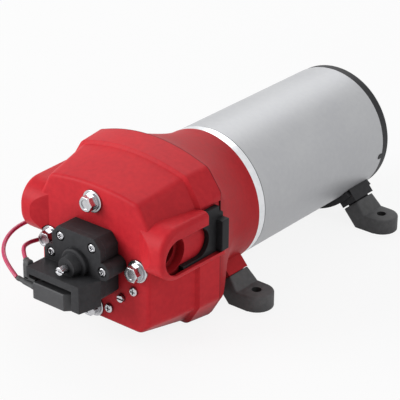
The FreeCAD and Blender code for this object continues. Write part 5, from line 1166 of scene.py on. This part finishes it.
@dataclass(frozen=True)
class PhotoCamera:
    """The photograph's view: degrees, but roll in radians, and millimetres, but clip_end in metres."""
    azimuth: float = 39.1453
    elevation: float = 26.1028
    roll: float = 0.0073156
    distance: float = 1033.321
    right: float = -2.3762
    up: float = -2.9028
    lens: float = 161.325
    sensor: float = 36.0
    clip_end: float = 20.0

    def build(self) -> None:
        """Place the camera: back from the pump's origin along the view, then sideways and up."""
        a, e = math.radians(self.azimuth), math.radians(self.elevation)
        back = np.array([math.sin(a) * math.cos(e), -math.cos(a) * math.cos(e), math.sin(e)])
        level = np.array([math.cos(a), math.sin(a), 0.0])
        above = np.cross(back, level)
        right = math.cos(self.roll) * level + math.sin(self.roll) * above
        up = math.cos(self.roll) * above - math.sin(self.roll) * level
        place = row_metres(back * self.distance + right * self.right + up * self.up)
        data = bpy.data.cameras.new("camera")
        data.lens = self.lens
        data.sensor_width = self.sensor
        data.clip_end = self.clip_end
        camera = add_object("camera", data)
        camera.matrix_world = turned_at(right, up, back, place)
        bpy.context.scene.camera = camera


@dataclass(frozen=True)
class Lamp:
    """One soft lamp: where it stands, its size in metres and its power in watts."""
    name: str
    place: tuple[float, float, float]
    size: float
    power: float

    def build(self) -> None:
        """Place the lamp, turned towards the pump."""
        data = bpy.data.lights.new(self.name, "AREA")
        data.shape = "DISK"
        data.size = self.size
        data.energy = self.power
        back = np.array(self.place) / np.linalg.norm(self.place)
        side = np.cross([0.0, 0.0, 1.0], back)
        side /= np.linalg.norm(side)
        lamp = add_object(self.name, data)
        lamp.matrix_world = turned_at(side, np.cross(back, side), back, np.array(self.place))


class Studio:
    """Pale floor, pale surroundings and three soft lamps."""
    LAMPS = (
        Lamp("lamp_key", (-1.00, -1.20, 0.72), 1.0, 19.0),
        Lamp("lamp_fill", (1.35, 0.10, 0.95), 1.2, 4.5),
        Lamp("lamp_top", (-0.60, 0.95, 1.30), 1.4, 8.5),
    )
    WHITE = (1.0, 1.0, 1.0, 1.0)
    AMBIENT = 0.36
    FLOOR_HALF = 6.0
    FLOOR_WHITE = (0.86, 0.86, 0.865, 1.0)
    FLOOR_GLOW = 0.87

    def _seen(self, tree: bpy.types.NodeTree) -> bpy.types.Node:
        """Largest of the three ray kinds that see the background: camera, glossy and transmission.

        Args:
            tree: the world's or the floor's tree.

        Returns:
            The node whose output is 1 for such a ray and 0 for the others.
        """
        path = add_node(tree, "ShaderNodeLightPath")
        first = add_node(tree, "ShaderNodeMath", operation="MAXIMUM")
        second = add_node(tree, "ShaderNodeMath", operation="MAXIMUM")
        wire(tree,
             (path, "Is Camera Ray", first, 0), (path, "Is Glossy Ray", first, 1),
             (first, 0, second, 0), (path, "Is Transmission Ray", second, 1))
        return second

    def _world(self) -> None:
        """White where it is seen, and a plain pale light elsewhere."""
        world = bpy.data.worlds.new("studio")
        bpy.context.scene.world = world
        world.use_nodes = True
        tree = world.node_tree
        shown = tree.nodes["Background"]
        shown.inputs["Color"].default_value = self.WHITE
        light = add_node(tree, "ShaderNodeBackground", {"Color": self.WHITE, "Strength": self.AMBIENT})
        mix = add_node(tree, "ShaderNodeMixShader")
        wire(tree,
             (self._seen(tree), 0, mix, 0), (light, 0, mix, 1), (shown, 0, mix, 2),
             (mix, 0, tree.nodes["World Output"], "Surface"))

    def _floor(self) -> None:
        """Flat floor under the feet; where it is seen it glows a little, and it keeps the pump's shadow."""
        mesh = bpy.data.meshes.new("floor")
        half = self.FLOOR_HALF
        mesh.from_pydata([(-half, -half, 0.0), (half, -half, 0.0), (half, half, 0.0), (-half, half, 0.0)], [],
                         [(0, 1, 2, 3)])
        material = bpy.data.materials.new("floor")
        material.use_nodes = True
        tree = material.node_tree
        tree.nodes.remove(tree.nodes["Principled BSDF"])
        matt = add_node(tree, "ShaderNodeBsdfDiffuse", {"Color": self.FLOOR_WHITE})
        glow = add_node(tree, "ShaderNodeEmission")
        share = add_node(tree, "ShaderNodeMath", {1: self.FLOOR_GLOW}, operation="MULTIPLY")
        mix = add_node(tree, "ShaderNodeMixShader")
        wire(tree,
             (self._seen(tree), 0, share, 0), (share, 0, mix, 0), (matt, 0, mix, 1), (glow, 0, mix, 2),
             (mix, 0, tree.nodes["Material Output"], "Surface"))
        mesh.materials.append(material)
        floor = add_object("floor", mesh)

    def build(self) -> None:
        """Set up the world, the floor and the lamps."""
        bpy.context.scene.view_settings.view_transform = "Standard"
        self._world()
        self._floor()
        for lamp in self.LAMPS:
            lamp.build()


def main() -> None:
    """Build the view, the leads, the other pieces, the finishes and the studio."""
    logging.basicConfig(level=logging.INFO, format="%(message)s")
    PhotoCamera().build()
    leads = SwitchLeads()
    leads.build_leads()
    leads.build_boots()
    RubberFeet().build()
    CapTabs().build()
    for spring in SPRINGS:
        spring.build()
    CarriedParts().dress()
    Studio().build()


if __name__ == "__main__":
    main()
